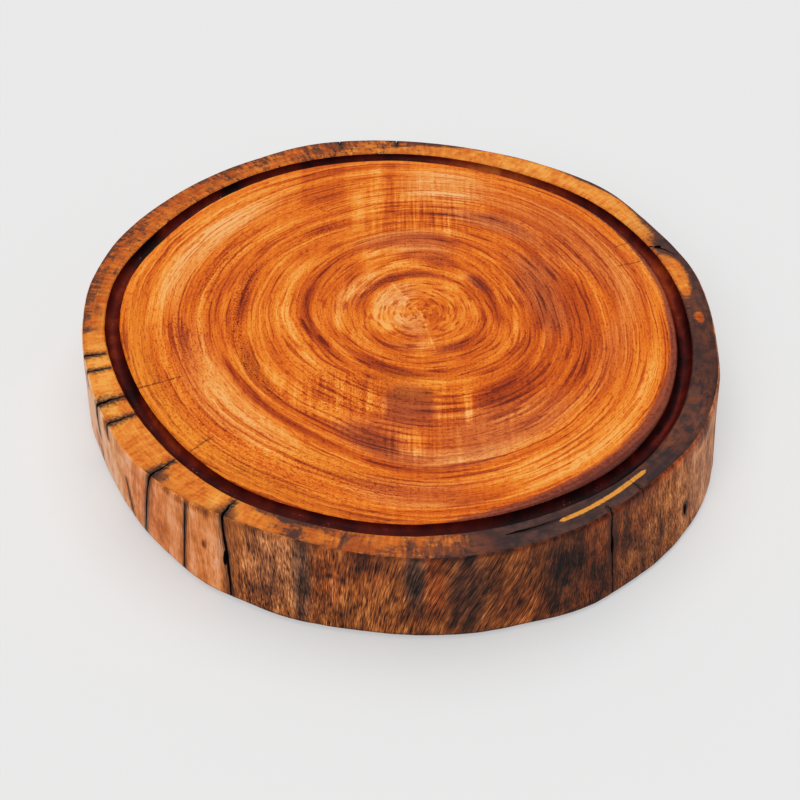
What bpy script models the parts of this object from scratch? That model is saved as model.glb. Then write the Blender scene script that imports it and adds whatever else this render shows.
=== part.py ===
"""Round barbecue cutting board made from one thick slice of a log.

The slab keeps the tree's own outline and its fluted side. A round-nosed groove for
meat juice follows the outline, just inside a narrow rim. Drying has opened checks that
run in from the bark side, and one split along a growth ring. The underside has four
drilled seats, each with a rubber foot, a washer and a wood screw.

Metres, +Z up. The origin is on the supporting surface, under the middle of the slab.
"""

from collections import namedtuple

import bpy
import numpy as np

MM = 0.001

# Slab
SLAB_RADIUS = 0.2051
SLAB_THICKNESS = 0.0610
SLAB_FACETS = 150
SIDE_STEPS = 4
BASE_ARRIS = 0.0028
FLUTE_DEPTH = 0.0007

# How far the bark edge stands out from SLAB_RADIUS, in mm, every 15 degrees anticlockwise from +X
BARK_SHAPE = (-3.7, -2.2, -3.0, 1.6, 0.7, 0.7, 3.6, 7.5, 5.2, 3.6, 2.0, -0.5,
              -5.5, -8.0, -6.0, -2.5, -3.0, -1.5, 4.5, 7.5, 7.5, 4.5, 5.0, 0.4)

# How far the foot of the side stands out from its top, in mm, every 15 degrees
SIDE_FLARE = (1.0, 1.5, 1.0, 0.0, -1.0, -1.5, -1.5, -1.5, -1.0, -1.0, -1.0, 0.0,
              2.0, 0.0, -3.6, -2.4, 4.0, 5.0, 2.5, 3.5, 7.6, 9.2, 5.8, 2.5)

# Radius of the worn arris between the top face and the side, in mm, every 30 degrees
TOP_ARRIS = (3.0, 2.0, 1.4, 1.2, 1.2, 1.4, 1.6, 2.6, 2.6, 2.6, 3.2, 3.6)

# Juice groove
RIM_WIDTH = 0.0166
GROOVE_WIDTH = 0.0095
GROOVE_DEPTH = 0.0060
GROOVE_LIP = 0.0007
GROOVE_ARC_STEPS = 8

# How much wider than RIM_WIDTH the hand-guided rim is, in mm, every 15 degrees
RIM_SHAPE = (-0.3, 0.7, -1.0, 1.8, 1.4, -0.1, 0.3, 2.8, 0.6, 1.1, 2.0, -0.7,
             -2.0, 0.0, 3.5, 4.8, 0.0, -0.8, 1.5, 3.0, 2.0, -1.8, 1.7, 1.2)

# Checks: angle in degrees, then in mm the reach inwards, the width at the bark side, the
# depths below the top where it starts and ends, and its anticlockwise lean over the thickness
Check = namedtuple("Check", "angle reach mouth start end lean")
CHECKS = (
    Check(190.5, 14.0, 1.2, 0.0, 22.0, 0.0),
    Check(195.0, 15.0, 0.9, 0.0, 12.0, 0.0),
    Check(204.3, 20.0, 2.2, 0.0, 32.0, -17.0),
    Check(210.0, 20.0, 1.4, 0.0, 13.0, -10.0),
    Check(216.3, 4.0, 1.3, 26.0, 70.0, 0.0),
    Check(225.4, 20.0, 1.6, 0.0, 70.0, -16.8),
    Check(233.7, 6.0, 1.0, 3.0, 70.0, -6.3),
    Check(240.9, 14.5, 2.0, 0.0, 70.0, 5.5),
    Check(305.2, 7.0, 1.0, 0.0, 70.0, -0.8),
    Check(312.2, 12.5, 0.6, 0.0, 5.0, 0.0),
    Check(90.0, 9.0, 0.9, 0.0, 8.0, 0.0),
    Check(101.4, 11.0, 1.0, 0.0, 10.0, 0.0),
)
CHECK_TIP_WIDTH = 0.0004
CHECK_TIP_DEPTH = 0.0035
CHECK_WANDER = 0.0006

# Split along a growth ring in the rim, between two angles in degrees. It is widest near its start
SHAKE_INSET = 0.0048
SHAKE_SPAN = (287.5, 298.5)
SHAKE_WIDTH = 0.0014
SHAKE_DEPTH = 0.0035
SHAKE_POINTS = 11
SHAKE_END_SHARE = 0.2

# Slanted split in the rim: angle in degrees and inset from the bark edge in mm at each point
RIM_SPLIT = ((20.8, 5.5), (23.2, 9.0), (25.7, 18.0))
RIM_SPLIT_WIDTHS = (0.0006, 0.0016, 0.0008)
RIM_SPLIT_DEPTH = 0.0050

# Old borer holes: angle, then in mm the inset from the bark edge, the depth below the top, the
# width and the length, and how many times taller than wide
Hole = namedtuple("Hole", "angle inset below width length stretch")
TOP_HOLES = (Hole(24.2, 11.0, 0.0, 3.8, 8.0, 1.3),)
SIDE_HOLES = (
    Hole(241.3, 0.0, 31.5, 2.9, 10.0, 4.0),
    Hole(305.2, 0.0, 25.0, 2.4, 9.0, 5.5),
    Hole(323.3, 0.0, 42.0, 3.0, 10.0, 2.6),
)
HOLE_FACETS = 10

# Feet
FOOT_COUNT = 4
FOOT_CIRCLE_RADIUS = 0.150
FOOT_FIRST_ANGLE = 45.0
FOOT_PROUD = 0.0015
FOOT_HEIGHT = 0.0080
FOOT_TOP_DIAMETER = 0.0200
FOOT_BASE_DIAMETER = 0.0180
FOOT_EDGE = 0.0010
FOOT_RECESS_DEPTH = 0.0050
SEAT_CLEARANCE = 0.0005

# Washers
WASHER_DIAMETER = 0.0094
WASHER_THICKNESS = 0.0010

# Screws
SCREW_DIAMETER = 0.0040
SCREW_LENGTH = 0.0200
SCREW_POINT_LENGTH = 0.0050
SCREW_POINT_RADIUS = 0.0003
SCREW_HEAD_DIAMETER = 0.0075
SCREW_HEAD_HEIGHT = 0.0022
CROSS_REACH = 0.0022
CROSS_FLOOR_REACH = 0.00132
CROSS_BLADE = 0.0005
CROSS_DEPTH = 0.0012
PILOT_SPARE = 0.0010

# Crown of the pan head, as shares of its radius and of its height, from the top of the crown
HEAD_CROWN = ((0.45, 1.0), (0.75, 0.93), (0.93, 0.70), (1.0, 0.36))

# Clearance between pieces that touch, and how far a cutter runs past what it cuts
TOUCH = 0.0003
OVERRUN = 0.0030

TURNED_FACETS = 24
SCREW_FACETS = 18

SLAB_BASE = FOOT_PROUD
SLAB_TOP = SLAB_BASE + SLAB_THICKNESS


def clear_scene():
    """Remove whatever the open file holds."""
    for thing in list(bpy.data.objects):
        bpy.data.objects.remove(thing, do_unlink=True)


def material(name, colour, roughness, metallic=0.0):
    """A Principled material of one plain colour."""
    made = bpy.data.materials.new(name)
    made.use_nodes = True
    shader = made.node_tree.nodes["Principled BSDF"]
    shader.inputs["Base Color"].default_value = (*colour, 1.0)
    shader.inputs["Roughness"].default_value = roughness
    shader.inputs["Metallic"].default_value = metallic
    return made


def add_object(name, points, faces, finish=None):
    """Put points and faces into a new object of the scene."""
    mesh = bpy.data.meshes.new(name)
    mesh.from_pydata([tuple(point) for point in points], [], faces)
    mesh.validate()
    piece = bpy.data.objects.new(name, mesh)
    bpy.context.scene.collection.objects.link(piece)
    if finish:
        mesh.materials.append(finish)
        mesh.shade_smooth()
        mesh.set_sharp_from_angle(angle=np.radians(35.0))
    return piece


def skin(name, rings, finish=None, loop=False):
    """Join rings of points, each anticlockwise, ordered from the underside outwards and up.

    With loop the last ring joins the first one. Otherwise both end rings are filled. The
    bands are triangles, because their four corners needn't lie in one plane.
    """
    rings = np.asarray(rings, dtype=float)
    count, sides = rings.shape[:2]
    index = np.arange(count * sides).reshape(count, sides)
    lower = index if loop else index[:-1]
    upper = np.roll(index, -1, axis=0) if loop else index[1:]
    ahead_lower = np.roll(lower, -1, axis=1)
    ahead_upper = np.roll(upper, -1, axis=1)
    first = np.stack([lower, ahead_lower, ahead_upper], axis=-1)
    second = np.stack([lower, ahead_upper, upper], axis=-1)
    faces = np.concatenate([first.reshape(-1, 3), second.reshape(-1, 3)]).tolist()
    if not loop:
        faces.append(index[0][::-1].tolist())
        faces.append(index[-1].tolist())
    return add_object(name, rings.reshape(-1, 3), faces, finish)


def turned(name, profile, sides, finish=None, loop=False):
    """Turn a profile of (radius, height) pairs about the Z axis."""
    angles = np.arange(sides) * 2.0 * np.pi / sides
    rings = [
        np.column_stack([radius * np.cos(angles), radius * np.sin(angles), np.full(sides, height)])
        for radius, height in profile
    ]
    return skin(name, rings, finish, loop)


def cut(piece, cutters):
    """Subtract the cutters in one step. They stay in the scene as hidden wire guides."""
    group = bpy.data.collections.new("cutters_of_" + piece.name)
    for cutter in cutters:
        cutter.hide_render = True
        cutter.display_type = "WIRE"
        group.objects.link(cutter)
    step = piece.modifiers.new("cuts", "BOOLEAN")
    step.operation = "DIFFERENCE"
    step.solver = "EXACT"
    step.operand_type = "COLLECTION"
    step.collection = group


def closed_curve(values, angles):
    """Catmull-Rom curve through values spaced equally round the circle, read at the angles."""
    values = np.asarray(values, dtype=float)
    count = len(values)
    place = np.asarray(angles) / (2.0 * np.pi) * count
    index = np.floor(place).astype(int)
    t = place - index
    before, here, after, beyond = (values[(index + step) % count] for step in (-1, 0, 1, 2))
    bend = 2.0 * before - 5.0 * here + 4.0 * after - beyond
    twist = 3.0 * (here - after) + beyond - before
    return here + 0.5 * t * (after - before + t * (bend + t * twist))


def bark_radius(angles):
    """Radius of the bark edge at the top face, about the middle of the tree."""
    return SLAB_RADIUS + MM * closed_curve(BARK_SHAPE, angles)


def side_radius(angles, below):
    """Radius of the side at a distance below the top: the flare grows towards the foot,
    with a few broad flutes that wander slowly round the trunk."""
    share = below / SLAB_THICKNESS
    flare = MM * closed_curve(SIDE_FLARE, angles) * share ** 1.3
    flutes = (
        0.50 * np.sin(17.0 * angles + 0.4 + 0.6 * share)
        + 0.30 * np.sin(23.0 * angles + 1.9 - 1.1 * share)
        + 0.20 * np.sin(11.0 * angles + 4.1)
    )
    return bark_radius(angles) + flare + FLUTE_DEPTH * flutes * (0.4 + 0.6 * share)


def groove_radius(angles):
    """Radius of the middle of the juice groove."""
    rim = RIM_WIDTH + MM * closed_curve(RIM_SHAPE, angles)
    return bark_radius(angles) - rim - 0.5 * GROOVE_WIDTH


def quarter_round(radius, steps, start):
    """Points of a quarter circle that rounds an outer corner, as (across, up) pairs: across
    is from the outer face inwards, and up is from the middle of the circle."""
    turns = np.radians(start) + np.linspace(0.0, 0.5 * np.pi, steps + 1)
    return [(radius * (np.cos(turn) - 1.0), radius * np.sin(turn)) for turn in turns]


def slab_rings():
    """Rings of the slab, from the underside out, up the side, in over the rim and the groove."""
    angles = np.arange(SLAB_FACETS) * 2.0 * np.pi / SLAB_FACETS
    arris = MM * closed_curve(TOP_ARRIS, angles)
    stations = []
    for across, up in quarter_round(BASE_ARRIS, 2, -90.0):
        below = np.full(SLAB_FACETS, SLAB_THICKNESS - BASE_ARRIS - up)
        stations.append((side_radius(angles, below) + across, below))
    for below in np.linspace(SLAB_THICKNESS - BASE_ARRIS, arris, SIDE_STEPS + 1)[1:-1]:
        stations.append((side_radius(angles, below), below))
    for across, up in quarter_round(arris, 2, 0.0):
        below = arris - up
        stations.append((side_radius(angles, below) + across, below))
    middle = groove_radius(angles)
    for across, below in groove_profile():
        stations.append((middle + across, np.full(SLAB_FACETS, below)))
    rings = [
        np.column_stack([radius * np.cos(angles), radius * np.sin(angles), SLAB_TOP - below])
        for radius, below in stations
    ]
    return np.asarray(rings)


def groove_profile():
    """The groove from its outer lip to its inner one, as (across, below the top) pairs.

    Each lip is worn to a short slope, and a round-nosed cutter leaves the rounded floor.
    """
    half = 0.5 * GROOVE_WIDTH
    turns = np.linspace(0.0, np.pi, GROOVE_ARC_STEPS + 1)
    floor = [(half * np.cos(turn), GROOVE_LIP + (GROOVE_DEPTH - GROOVE_LIP) * np.sin(turn)) for turn in turns]
    return [(half + GROOVE_LIP, 0.0), *floor, (-half - GROOVE_LIP, 0.0)]


def outline_middle():
    """Middle of the slab's bounding box, measured from the middle of the tree."""
    rings = slab_rings()
    flat = rings.reshape(-1, 3)
    return 0.5 * (flat.min(axis=0) + flat.max(axis=0))[:2]


def plan_point(angle, radius):
    """A point in plan, from an angle in degrees and a radius about the middle of the tree."""
    turn = np.radians(angle)
    return np.array([radius * np.cos(turn), radius * np.sin(turn)]) - outline_middle()


def slot_cutter(name, path, widths, depths, start=0.0, lean=0.0):
    """A narrow cutter along a path in plan, from start below the top face to its own depth at
    each point. Lean is its shift to the right of the path over the thickness of the slab."""
    path = np.asarray(path)
    along = np.gradient(path, axis=0)
    along /= np.linalg.norm(along, axis=1)[:, None]
    square = np.column_stack([-along[:, 1], along[:, 0]])
    upper = SLAB_TOP - start + (OVERRUN if start == 0.0 else 0.0)
    rings = []
    for point, side, width, depth in zip(path, square, widths, depths):
        left = point + 0.5 * width * side
        right = point - 0.5 * width * side
        foot = SLAB_TOP - depth
        shift = -lean * (depth - start) / SLAB_THICKNESS * side
        rings.append([(*(left + shift), foot), (*left, upper), (*right, upper), (*(right + shift), foot)])
    return skin(name, rings)


def check_cutter(name, check):
    """A drying check: a wedge that narrows and gets shallower as it runs in from the bark side."""
    turn = np.radians(check.angle)
    bark = bark_radius(turn)
    reach = check.reach * MM
    mouth = check.mouth * MM
    end = check.end * MM
    spread = MM * max(SIDE_FLARE) + OVERRUN
    radii = (bark + spread, bark, bark - 0.5 * reach, bark - reach)
    swerve = (0.0, 0.0, CHECK_WANDER / bark, -CHECK_WANDER / bark)
    path = [plan_point(check.angle + np.degrees(off), radius) for off, radius in zip(swerve, radii)]
    widths = (mouth, mouth, 0.5 * (mouth + CHECK_TIP_WIDTH), CHECK_TIP_WIDTH)
    tip = check.start * MM + CHECK_TIP_DEPTH
    depths = (end, end, 0.5 * (end + tip), tip)
    return slot_cutter(name, path, widths, depths, check.start * MM, check.lean * MM)


def shake_cutter():
    """The split along a growth ring: a shallow curved slot, a quarter of the way along at its
    widest, that fades out at both ends."""
    share = np.linspace(0.0, 1.0, SHAKE_POINTS)
    angles = SHAKE_SPAN[0] + (SHAKE_SPAN[1] - SHAKE_SPAN[0]) * share
    swell = np.maximum(np.sin(np.pi * np.sqrt(share)), SHAKE_END_SHARE)
    path = [plan_point(angle, SLAB_RADIUS - SHAKE_INSET) for angle in angles]
    return slot_cutter("shake_cutter", path, SHAKE_WIDTH * swell, SHAKE_DEPTH * swell)


def rim_split_cutter():
    """The slanted split in the rim."""
    path = [plan_point(angle, bark_radius(np.radians(angle)) - inset * MM) for angle, inset in RIM_SPLIT]
    depths = [RIM_SPLIT_DEPTH] * len(path)
    return slot_cutter("rim_split_cutter", path, RIM_SPLIT_WIDTHS, depths)


def hole_cutter(name, hole, sideways):
    """A borer hole, down from the top face or in from the side. On the side its stretch
    makes it taller than wide, and on the top longer towards the bark."""
    radius = 0.5 * hole.width * MM
    length = hole.length * MM
    turn = np.radians(hole.angle)
    below = hole.below * MM
    if sideways:
        surface = side_radius(turn, below)
        cutter = turned(name, ((radius, -OVERRUN), (radius, length)), HOLE_FACETS)
        cutter.rotation_euler = (0.0, -0.5 * np.pi, turn)
    else:
        surface = bark_radius(turn)
        cutter = turned(name, ((radius, -length), (radius, OVERRUN)), HOLE_FACETS)
        cutter.rotation_euler = (0.0, 0.0, turn)
    cutter.scale = (hole.stretch, 1.0, 1.0)
    cutter.location = (*plan_point(hole.angle, surface - hole.inset * MM), SLAB_TOP - below)
    return cutter


def foot_place(number):
    """Plan position of a foot's middle."""
    turn = np.radians(FOOT_FIRST_ANGLE) + 2.0 * np.pi * number / FOOT_COUNT
    return FOOT_CIRCLE_RADIUS * np.cos(turn), FOOT_CIRCLE_RADIUS * np.sin(turn)


def washer_base():
    """Height of the washer's lower face: it bears on the ceiling of the foot's recess."""
    return FOOT_RECESS_DEPTH - TOUCH - WASHER_THICKNESS


def screw_bearing():
    """Height of the face of the screw head that clamps the washer."""
    return washer_base() - TOUCH


def shank_hole_radius():
    """Radius of the holes that the screw's shank passes through."""
    return 0.5 * SCREW_DIAMETER + TOUCH


def seat_cutter(number):
    """The flat-bottomed seat of one foot, with the pilot hole of its screw above it."""
    seat = 0.5 * FOOT_TOP_DIAMETER + SEAT_CLEARANCE
    ceiling = FOOT_HEIGHT + TOUCH
    pilot = shank_hole_radius()
    pilot_end = screw_bearing() + SCREW_LENGTH + PILOT_SPARE
    profile = ((seat, SLAB_BASE - OVERRUN), (seat, ceiling), (pilot, ceiling), (pilot, pilot_end))
    cutter = turned(f"seat_cutter_{number + 1}", profile, TURNED_FACETS)
    cutter.location = (*foot_place(number), 0.0)
    return cutter


def make_slab(finish):
    """The slice of the log, with its groove, its natural openings and the seats of the feet."""
    rings = slab_rings()
    rings[..., :2] -= outline_middle()
    slab = skin("slab", rings, finish)
    cutters = [seat_cutter(number) for number in range(FOOT_COUNT)]
    cutters += [check_cutter(f"check_cutter_{number + 1}", check) for number, check in enumerate(CHECKS)]
    cutters += [shake_cutter(), rim_split_cutter()]
    for number, hole in enumerate(TOP_HOLES):
        cutters.append(hole_cutter(f"top_hole_cutter_{number + 1}", hole, sideways=False))
    for number, hole in enumerate(SIDE_HOLES):
        cutters.append(hole_cutter(f"side_hole_cutter_{number + 1}", hole, sideways=True))
    cut(slab, cutters)
    return slab


def make_foot(number, finish):
    """A tapered rubber foot with a recess below for the washer and the screw head."""
    top = 0.5 * FOOT_TOP_DIAMETER
    base = 0.5 * FOOT_BASE_DIAMETER
    recess = 0.5 * WASHER_DIAMETER + TOUCH
    bore = shank_hole_radius()
    rounded = [(base + across, FOOT_EDGE + up) for across, up in quarter_round(FOOT_EDGE, 3, -90.0)]
    profile = [
        (recess, 0.0),
        *rounded,
        (top, FOOT_HEIGHT),
        (bore, FOOT_HEIGHT),
        (bore, FOOT_RECESS_DEPTH),
        (recess, FOOT_RECESS_DEPTH),
    ]
    foot = turned(f"foot_{number + 1}", profile, TURNED_FACETS, finish, loop=True)
    foot.location = (*foot_place(number), 0.0)


def make_washer(number, finish):
    """A flat washer that spreads the screw's clamp over the rubber."""
    outer = 0.5 * WASHER_DIAMETER
    hole = shank_hole_radius()
    profile = ((hole, 0.0), (outer, 0.0), (outer, WASHER_THICKNESS), (hole, WASHER_THICKNESS))
    washer = turned(f"foot_washer_{number + 1}", profile, TURNED_FACETS, finish, loop=True)
    washer.location = (*foot_place(number), washer_base())


def cross_cutter(number):
    """The tapered cross recess of a screw head."""
    rings = []
    for height, reach in ((-OVERRUN, CROSS_REACH), (CROSS_DEPTH, CROSS_FLOOR_REACH)):
        arm = [(reach, -CROSS_BLADE), (reach, CROSS_BLADE), (CROSS_BLADE, CROSS_BLADE)]
        ring = []
        for quarter in range(4):
            turn = 0.5 * np.pi * quarter
            ring += [
                (x * np.cos(turn) - y * np.sin(turn), x * np.sin(turn) + y * np.cos(turn), height)
                for x, y in arm
            ]
        rings.append(ring)
    cutter = skin(f"cross_cutter_{number + 1}", rings)
    cutter.location = (*foot_place(number), screw_bearing() - SCREW_HEAD_HEIGHT)
    return cutter


def make_screw(number, finish):
    """A pan-head wood screw, head down, with its cross recess. Its origin is on the bearing face."""
    head = 0.5 * SCREW_HEAD_DIAMETER
    shank = 0.5 * SCREW_DIAMETER
    crown = [(across * head, -up * SCREW_HEAD_HEIGHT) for across, up in HEAD_CROWN]
    profile = (
        *crown,
        (head, 0.0),
        (shank, 0.0),
        (shank, SCREW_LENGTH - SCREW_POINT_LENGTH),
        (SCREW_POINT_RADIUS, SCREW_LENGTH),
    )
    screw = turned(f"foot_screw_{number + 1}", profile, SCREW_FACETS, finish)
    screw.location = (*foot_place(number), screw_bearing())
    cut(screw, [cross_cutter(number)])


def main():
    clear_scene()
    wood = material("oiled_wood", (0.50, 0.22, 0.07), 0.45)
    rubber = material("black_rubber", (0.02, 0.02, 0.02), 0.80)
    steel = material("zinc_plated_steel", (0.62, 0.62, 0.60), 0.35, 1.0)
    make_slab(wood)
    for number in range(FOOT_COUNT):
        make_foot(number, rubber)
        make_washer(number, steel)
        make_screw(number, steel)


main()
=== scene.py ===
"""Looks of a round barbecue cutting board, a thick slice of a log with a juice groove.

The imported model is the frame. This script dresses it: the slab with its bark side, its
drying checks and its grain, the rubber feet, their washers and screws, and a plain stage.
"""

from collections import namedtuple
from functools import partial

import bpy
import numpy as np
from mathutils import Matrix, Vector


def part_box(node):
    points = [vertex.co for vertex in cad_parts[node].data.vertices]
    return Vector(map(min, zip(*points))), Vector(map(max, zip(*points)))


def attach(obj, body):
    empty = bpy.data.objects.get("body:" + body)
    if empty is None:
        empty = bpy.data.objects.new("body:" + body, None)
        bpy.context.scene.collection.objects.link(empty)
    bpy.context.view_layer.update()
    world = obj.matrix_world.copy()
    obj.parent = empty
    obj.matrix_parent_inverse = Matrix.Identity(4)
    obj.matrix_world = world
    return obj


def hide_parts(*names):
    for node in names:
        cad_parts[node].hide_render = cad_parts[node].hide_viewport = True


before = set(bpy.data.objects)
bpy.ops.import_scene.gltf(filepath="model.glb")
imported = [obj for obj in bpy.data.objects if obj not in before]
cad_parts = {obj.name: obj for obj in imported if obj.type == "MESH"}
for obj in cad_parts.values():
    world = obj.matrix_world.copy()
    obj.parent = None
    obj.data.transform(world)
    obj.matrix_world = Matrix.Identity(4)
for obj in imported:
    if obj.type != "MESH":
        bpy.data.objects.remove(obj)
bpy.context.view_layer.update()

bl_info = {
    "name": "Log Slice Cutting Board",
    "version": (1, 0, 0),
    "blender": (4, 5, 0),
    "location": "3D View > Sidebar > Board",
    "description": "Builds a log slice cutting board with its feet and a plain stage",
    "category": "Add Mesh",
}

MM = 0.001
FULL_TURN = 2.0 * np.pi

# Slab, as in the frame. Its height comes from the frame's own node
SLAB_LOW, SLAB_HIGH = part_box("slab")
SLAB_BASE = SLAB_LOW.z
SLAB_TOP = SLAB_HIGH.z
SLAB_THICKNESS = SLAB_TOP - SLAB_BASE
SLAB_RADIUS = 0.2051
FRAME_FACETS = 150
BASE_ARRIS = 0.0028

# Broad flutes of the side: their depth, how much of it there is at the top, and for each wave its
# share, its count round the trunk, its phase and its drift over the thickness, in radians
FLUTE_DEPTH = 0.0007
FLUTE_TOP_SHARE = 0.4
FLUTES = ((0.50, 17.0, 0.4, 0.6), (0.30, 23.0, 1.9, -1.1), (0.20, 11.0, 4.1, 0.0))

# Weathered relief of the side, as shares of its depth: what is taken everywhere, then for each
# layer its share, its cells round and up, its slant over the thickness in radians and its seed
RELIEF_FLOOR = 0.10
RELIEF_LAYERS = ((0.45, 46, 2, 0.0, 11), (0.27, 120, 4, 0.02, 12), (0.18, 300, 9, -0.03, 13))
RELIEF_LEFT_ON_TOP = 0.25

# How far the bark edge stands out from SLAB_RADIUS, in mm, every 15 degrees anticlockwise from +X
BARK_SHAPE = (-3.7, -2.2, -3.0, 1.6, 0.7, 0.7, 3.6, 7.5, 5.2, 3.6, 2.0, -0.5,
              -5.5, -8.0, -6.0, -2.5, -3.0, -1.5, 4.5, 7.5, 7.5, 4.5, 5.0, 0.4)

# How far the foot of the side stands out from its top, in mm, every 15 degrees, and the power
# of the depth with which the side flares
FLARE_POWER = 1.3
SIDE_FLARE = (1.0, 1.5, 1.0, 0.0, -1.0, -1.5, -1.5, -1.5, -1.0, -1.0, -1.0, 0.0,
              2.0, 0.0, -3.6, -2.4, 4.0, 5.0, 2.5, 3.5, 7.6, 9.2, 5.8, 2.5)

# Radius of the worn arris between the top face and the side, in mm, every 30 degrees
TOP_ARRIS = (3.0, 2.0, 1.4, 1.2, 1.2, 1.4, 1.6, 2.6, 2.6, 2.6, 3.2, 3.6)

# Juice groove
RIM_WIDTH = 0.0166
GROOVE_WIDTH = 0.0095
GROOVE_DEPTH = 0.0060
GROOVE_LIP = 0.0007
GROOVE_WAVER = 0.00012

# How much wider than RIM_WIDTH the hand-guided rim is, in mm, every 15 degrees
RIM_SHAPE = (-0.3, 0.7, -1.0, 1.8, 1.4, -0.1, 0.3, 2.8, 0.6, 1.1, 2.0, -0.7,
             -2.0, 0.0, 3.5, 4.8, 0.0, -0.8, 1.5, 3.0, 2.0, -1.8, 1.7, 1.2)

# Rows and columns of the slab's surface
COLUMNS = 816
BASE_ROWS = 4
SIDE_ROWS = 38
ARRIS_ROWS = 6
RIM_ROWS = 10
GROOVE_ROWS = 16
PLATEAU_ROWS = 54
HEART_ROWS = 36
HEART_SHARE = 0.36

# Checks: angle in degrees, then in mm the reach inwards, the width at the bark side, the
# depths below the top where it starts and ends, and its anticlockwise lean over the thickness
Check = namedtuple("Check", "angle reach mouth start end lean")
CHECKS = (
    Check(190.5, 14.0, 1.2, 0.0, 22.0, 0.0),
    Check(195.0, 15.0, 0.9, 0.0, 12.0, 0.0),
    Check(204.3, 20.0, 2.2, 0.0, 32.0, -17.0),
    Check(210.0, 20.0, 1.4, 0.0, 13.0, -10.0),
    Check(216.3, 4.0, 1.3, 26.0, 70.0, 0.0),
    Check(225.4, 20.0, 1.6, 0.0, 70.0, -16.8),
    Check(233.7, 6.0, 1.0, 3.0, 70.0, -6.3),
    Check(240.9, 14.5, 2.0, 0.0, 70.0, 5.5),
    Check(305.2, 7.0, 1.0, 0.0, 70.0, -0.8),
    Check(312.2, 12.5, 0.6, 0.0, 5.0, 0.0),
    Check(90.0, 9.0, 0.9, 0.0, 8.0, 0.0),
    Check(101.4, 11.0, 1.0, 0.0, 10.0, 0.0),
)
CHECK_TIP_WIDTH = 0.0003
CHECK_TIP_DEPTH = 0.0035
CHECK_WANDER = 0.0006
CHECK_STATIONS = 16
CRACK_LEVELS = 14
CRACK_TAPER = 0.7
CRACK_BREATH = 0.30
CRACK_NOISE_SHARE = 0.8
CRACK_TOP_SHARE = 0.12
CRACK_TOP_POWER = 0.8

# How far a cutter stands out of the wood
OVERRUN = 0.0030

# Split along a growth ring in the rim, between two angles in degrees
SHAKE_INSET = 0.0048
SHAKE_SPAN = (287.5, 298.5)
SHAKE_WIDTH = 0.0014
SHAKE_DEPTH = 0.0035
SHAKE_END_SHARE = 0.2
SHAKE_STATIONS = 40
SHAKE_WANDER = 0.0002

# Slanted split in the rim: angle in degrees and inset from the bark edge in mm at each point
RIM_SPLIT = ((20.8, 5.5), (23.2, 9.0), (25.7, 18.0))
RIM_SPLIT_WIDTHS = (0.0006, 0.0016, 0.0008)
RIM_SPLIT_DEPTH = 0.0050
RIM_SPLIT_STATIONS = 17
RIM_SPLIT_WANDER = 0.0003

# Old borer holes: angle, then in mm the inset from the bark edge, the depth below the top, the
# width and the length, and how many times taller than wide
Hole = namedtuple("Hole", "angle inset below width length stretch")
TOP_HOLES = (Hole(24.2, 11.0, 0.0, 3.8, 8.0, 1.3),)
SIDE_HOLES = (
    Hole(241.3, 0.0, 31.5, 2.9, 10.0, 4.0),
    Hole(305.2, 0.0, 25.0, 2.4, 9.0, 5.5),
    Hole(323.3, 0.0, 42.0, 3.0, 10.0, 2.6),
)
HOLE_SIDES = 28
HOLE_RINGS = 9
HOLE_WAVER = 0.16
HOLE_END_SHARE = 0.35
HOLE_WIDENING = 3.0

# Feet, washers and screws, as in the frame
FOOT_COUNT = 4
FOOT_CIRCLE_RADIUS = 0.150
FOOT_FIRST_ANGLE = 45.0
FOOT_HEIGHT = 0.0080
FOOT_TOP_DIAMETER = 0.0200
FOOT_BASE_DIAMETER = 0.0180
FOOT_EDGE = 0.0010
FOOT_EDGE_POINTS = 9
FOOT_CHAMFER = 0.0003
FOOT_RECESS_DEPTH = 0.0050
SEAT_CLEARANCE = 0.0005
WASHER_DIAMETER = 0.0094
WASHER_THICKNESS = 0.0010
WASHER_EDGE = 0.00012
SCREW_DIAMETER = 0.0040
SCREW_CORE = 0.0030
SCREW_LENGTH = 0.0200
SCREW_PLAIN_LENGTH = 0.0050
SCREW_POINT_LENGTH = 0.0050
SCREW_POINT_SHARE = 0.02
SCREW_PITCH = 0.0018
SCREW_HEAD_DIAMETER = 0.0075
SCREW_HEAD_HEIGHT = 0.0022
SCREW_HEAD_EDGE = 0.0001
CROWN_EDGE_SHARE = 0.36
CROWN_DROP = 0.999
CROWN_FIRST_SHARE = 0.04
CROWN_ROWS = 26
CROSS_REACH = 0.0022
CROSS_BLADE = 0.0005
CROSS_DEPTH = 0.0012
CROSS_FALL = 0.35
THREAD_START = 0.0010
THREAD_RUN_IN = 0.0010
THREAD_SHARPNESS = 3.2
THREAD_ROWS = 130
PILOT_SPARE = 0.0010
TOUCH = 0.0003
TURNED_SIDES = 72
SHARP_ANGLE = 38.0

# The middle of the growth rings, in mm from the middle of the tree
PITH_FROM_TREE = (15.0, 8.3)

# Growth rings: how far four of them lie from the pith, in mm, every 30 degrees from +X
RING_SHAPES = (
    (39.0, 38.5, 38.0, 38.5, 38.5, 38.5, 39.0, 40.0, 41.5, 41.0, 40.5, 41.5),
    (68.0, 66.5, 73.0, 79.0, 78.0, 74.5, 72.0, 65.5, 65.0, 70.0, 75.0, 76.0),
    (107.0, 106.0, 110.0, 110.0, 109.0, 114.0, 115.0, 120.0, 121.0, 130.0, 128.0, 118.0),
    (124.0, 122.0, 128.0, 128.0, 125.0, 127.0, 130.0, 129.0, 131.0, 145.0, 142.0, 133.0),
)
BARK_RING = 213.0
BARK_RAYS = 2881

# Camera, as it stood for the photograph
LENS = 81.0
SENSOR = 36.0
CAMERA_PLACE = (0.0020, -0.8927, 0.7728)
CAMERA_TILT = 49.0

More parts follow.
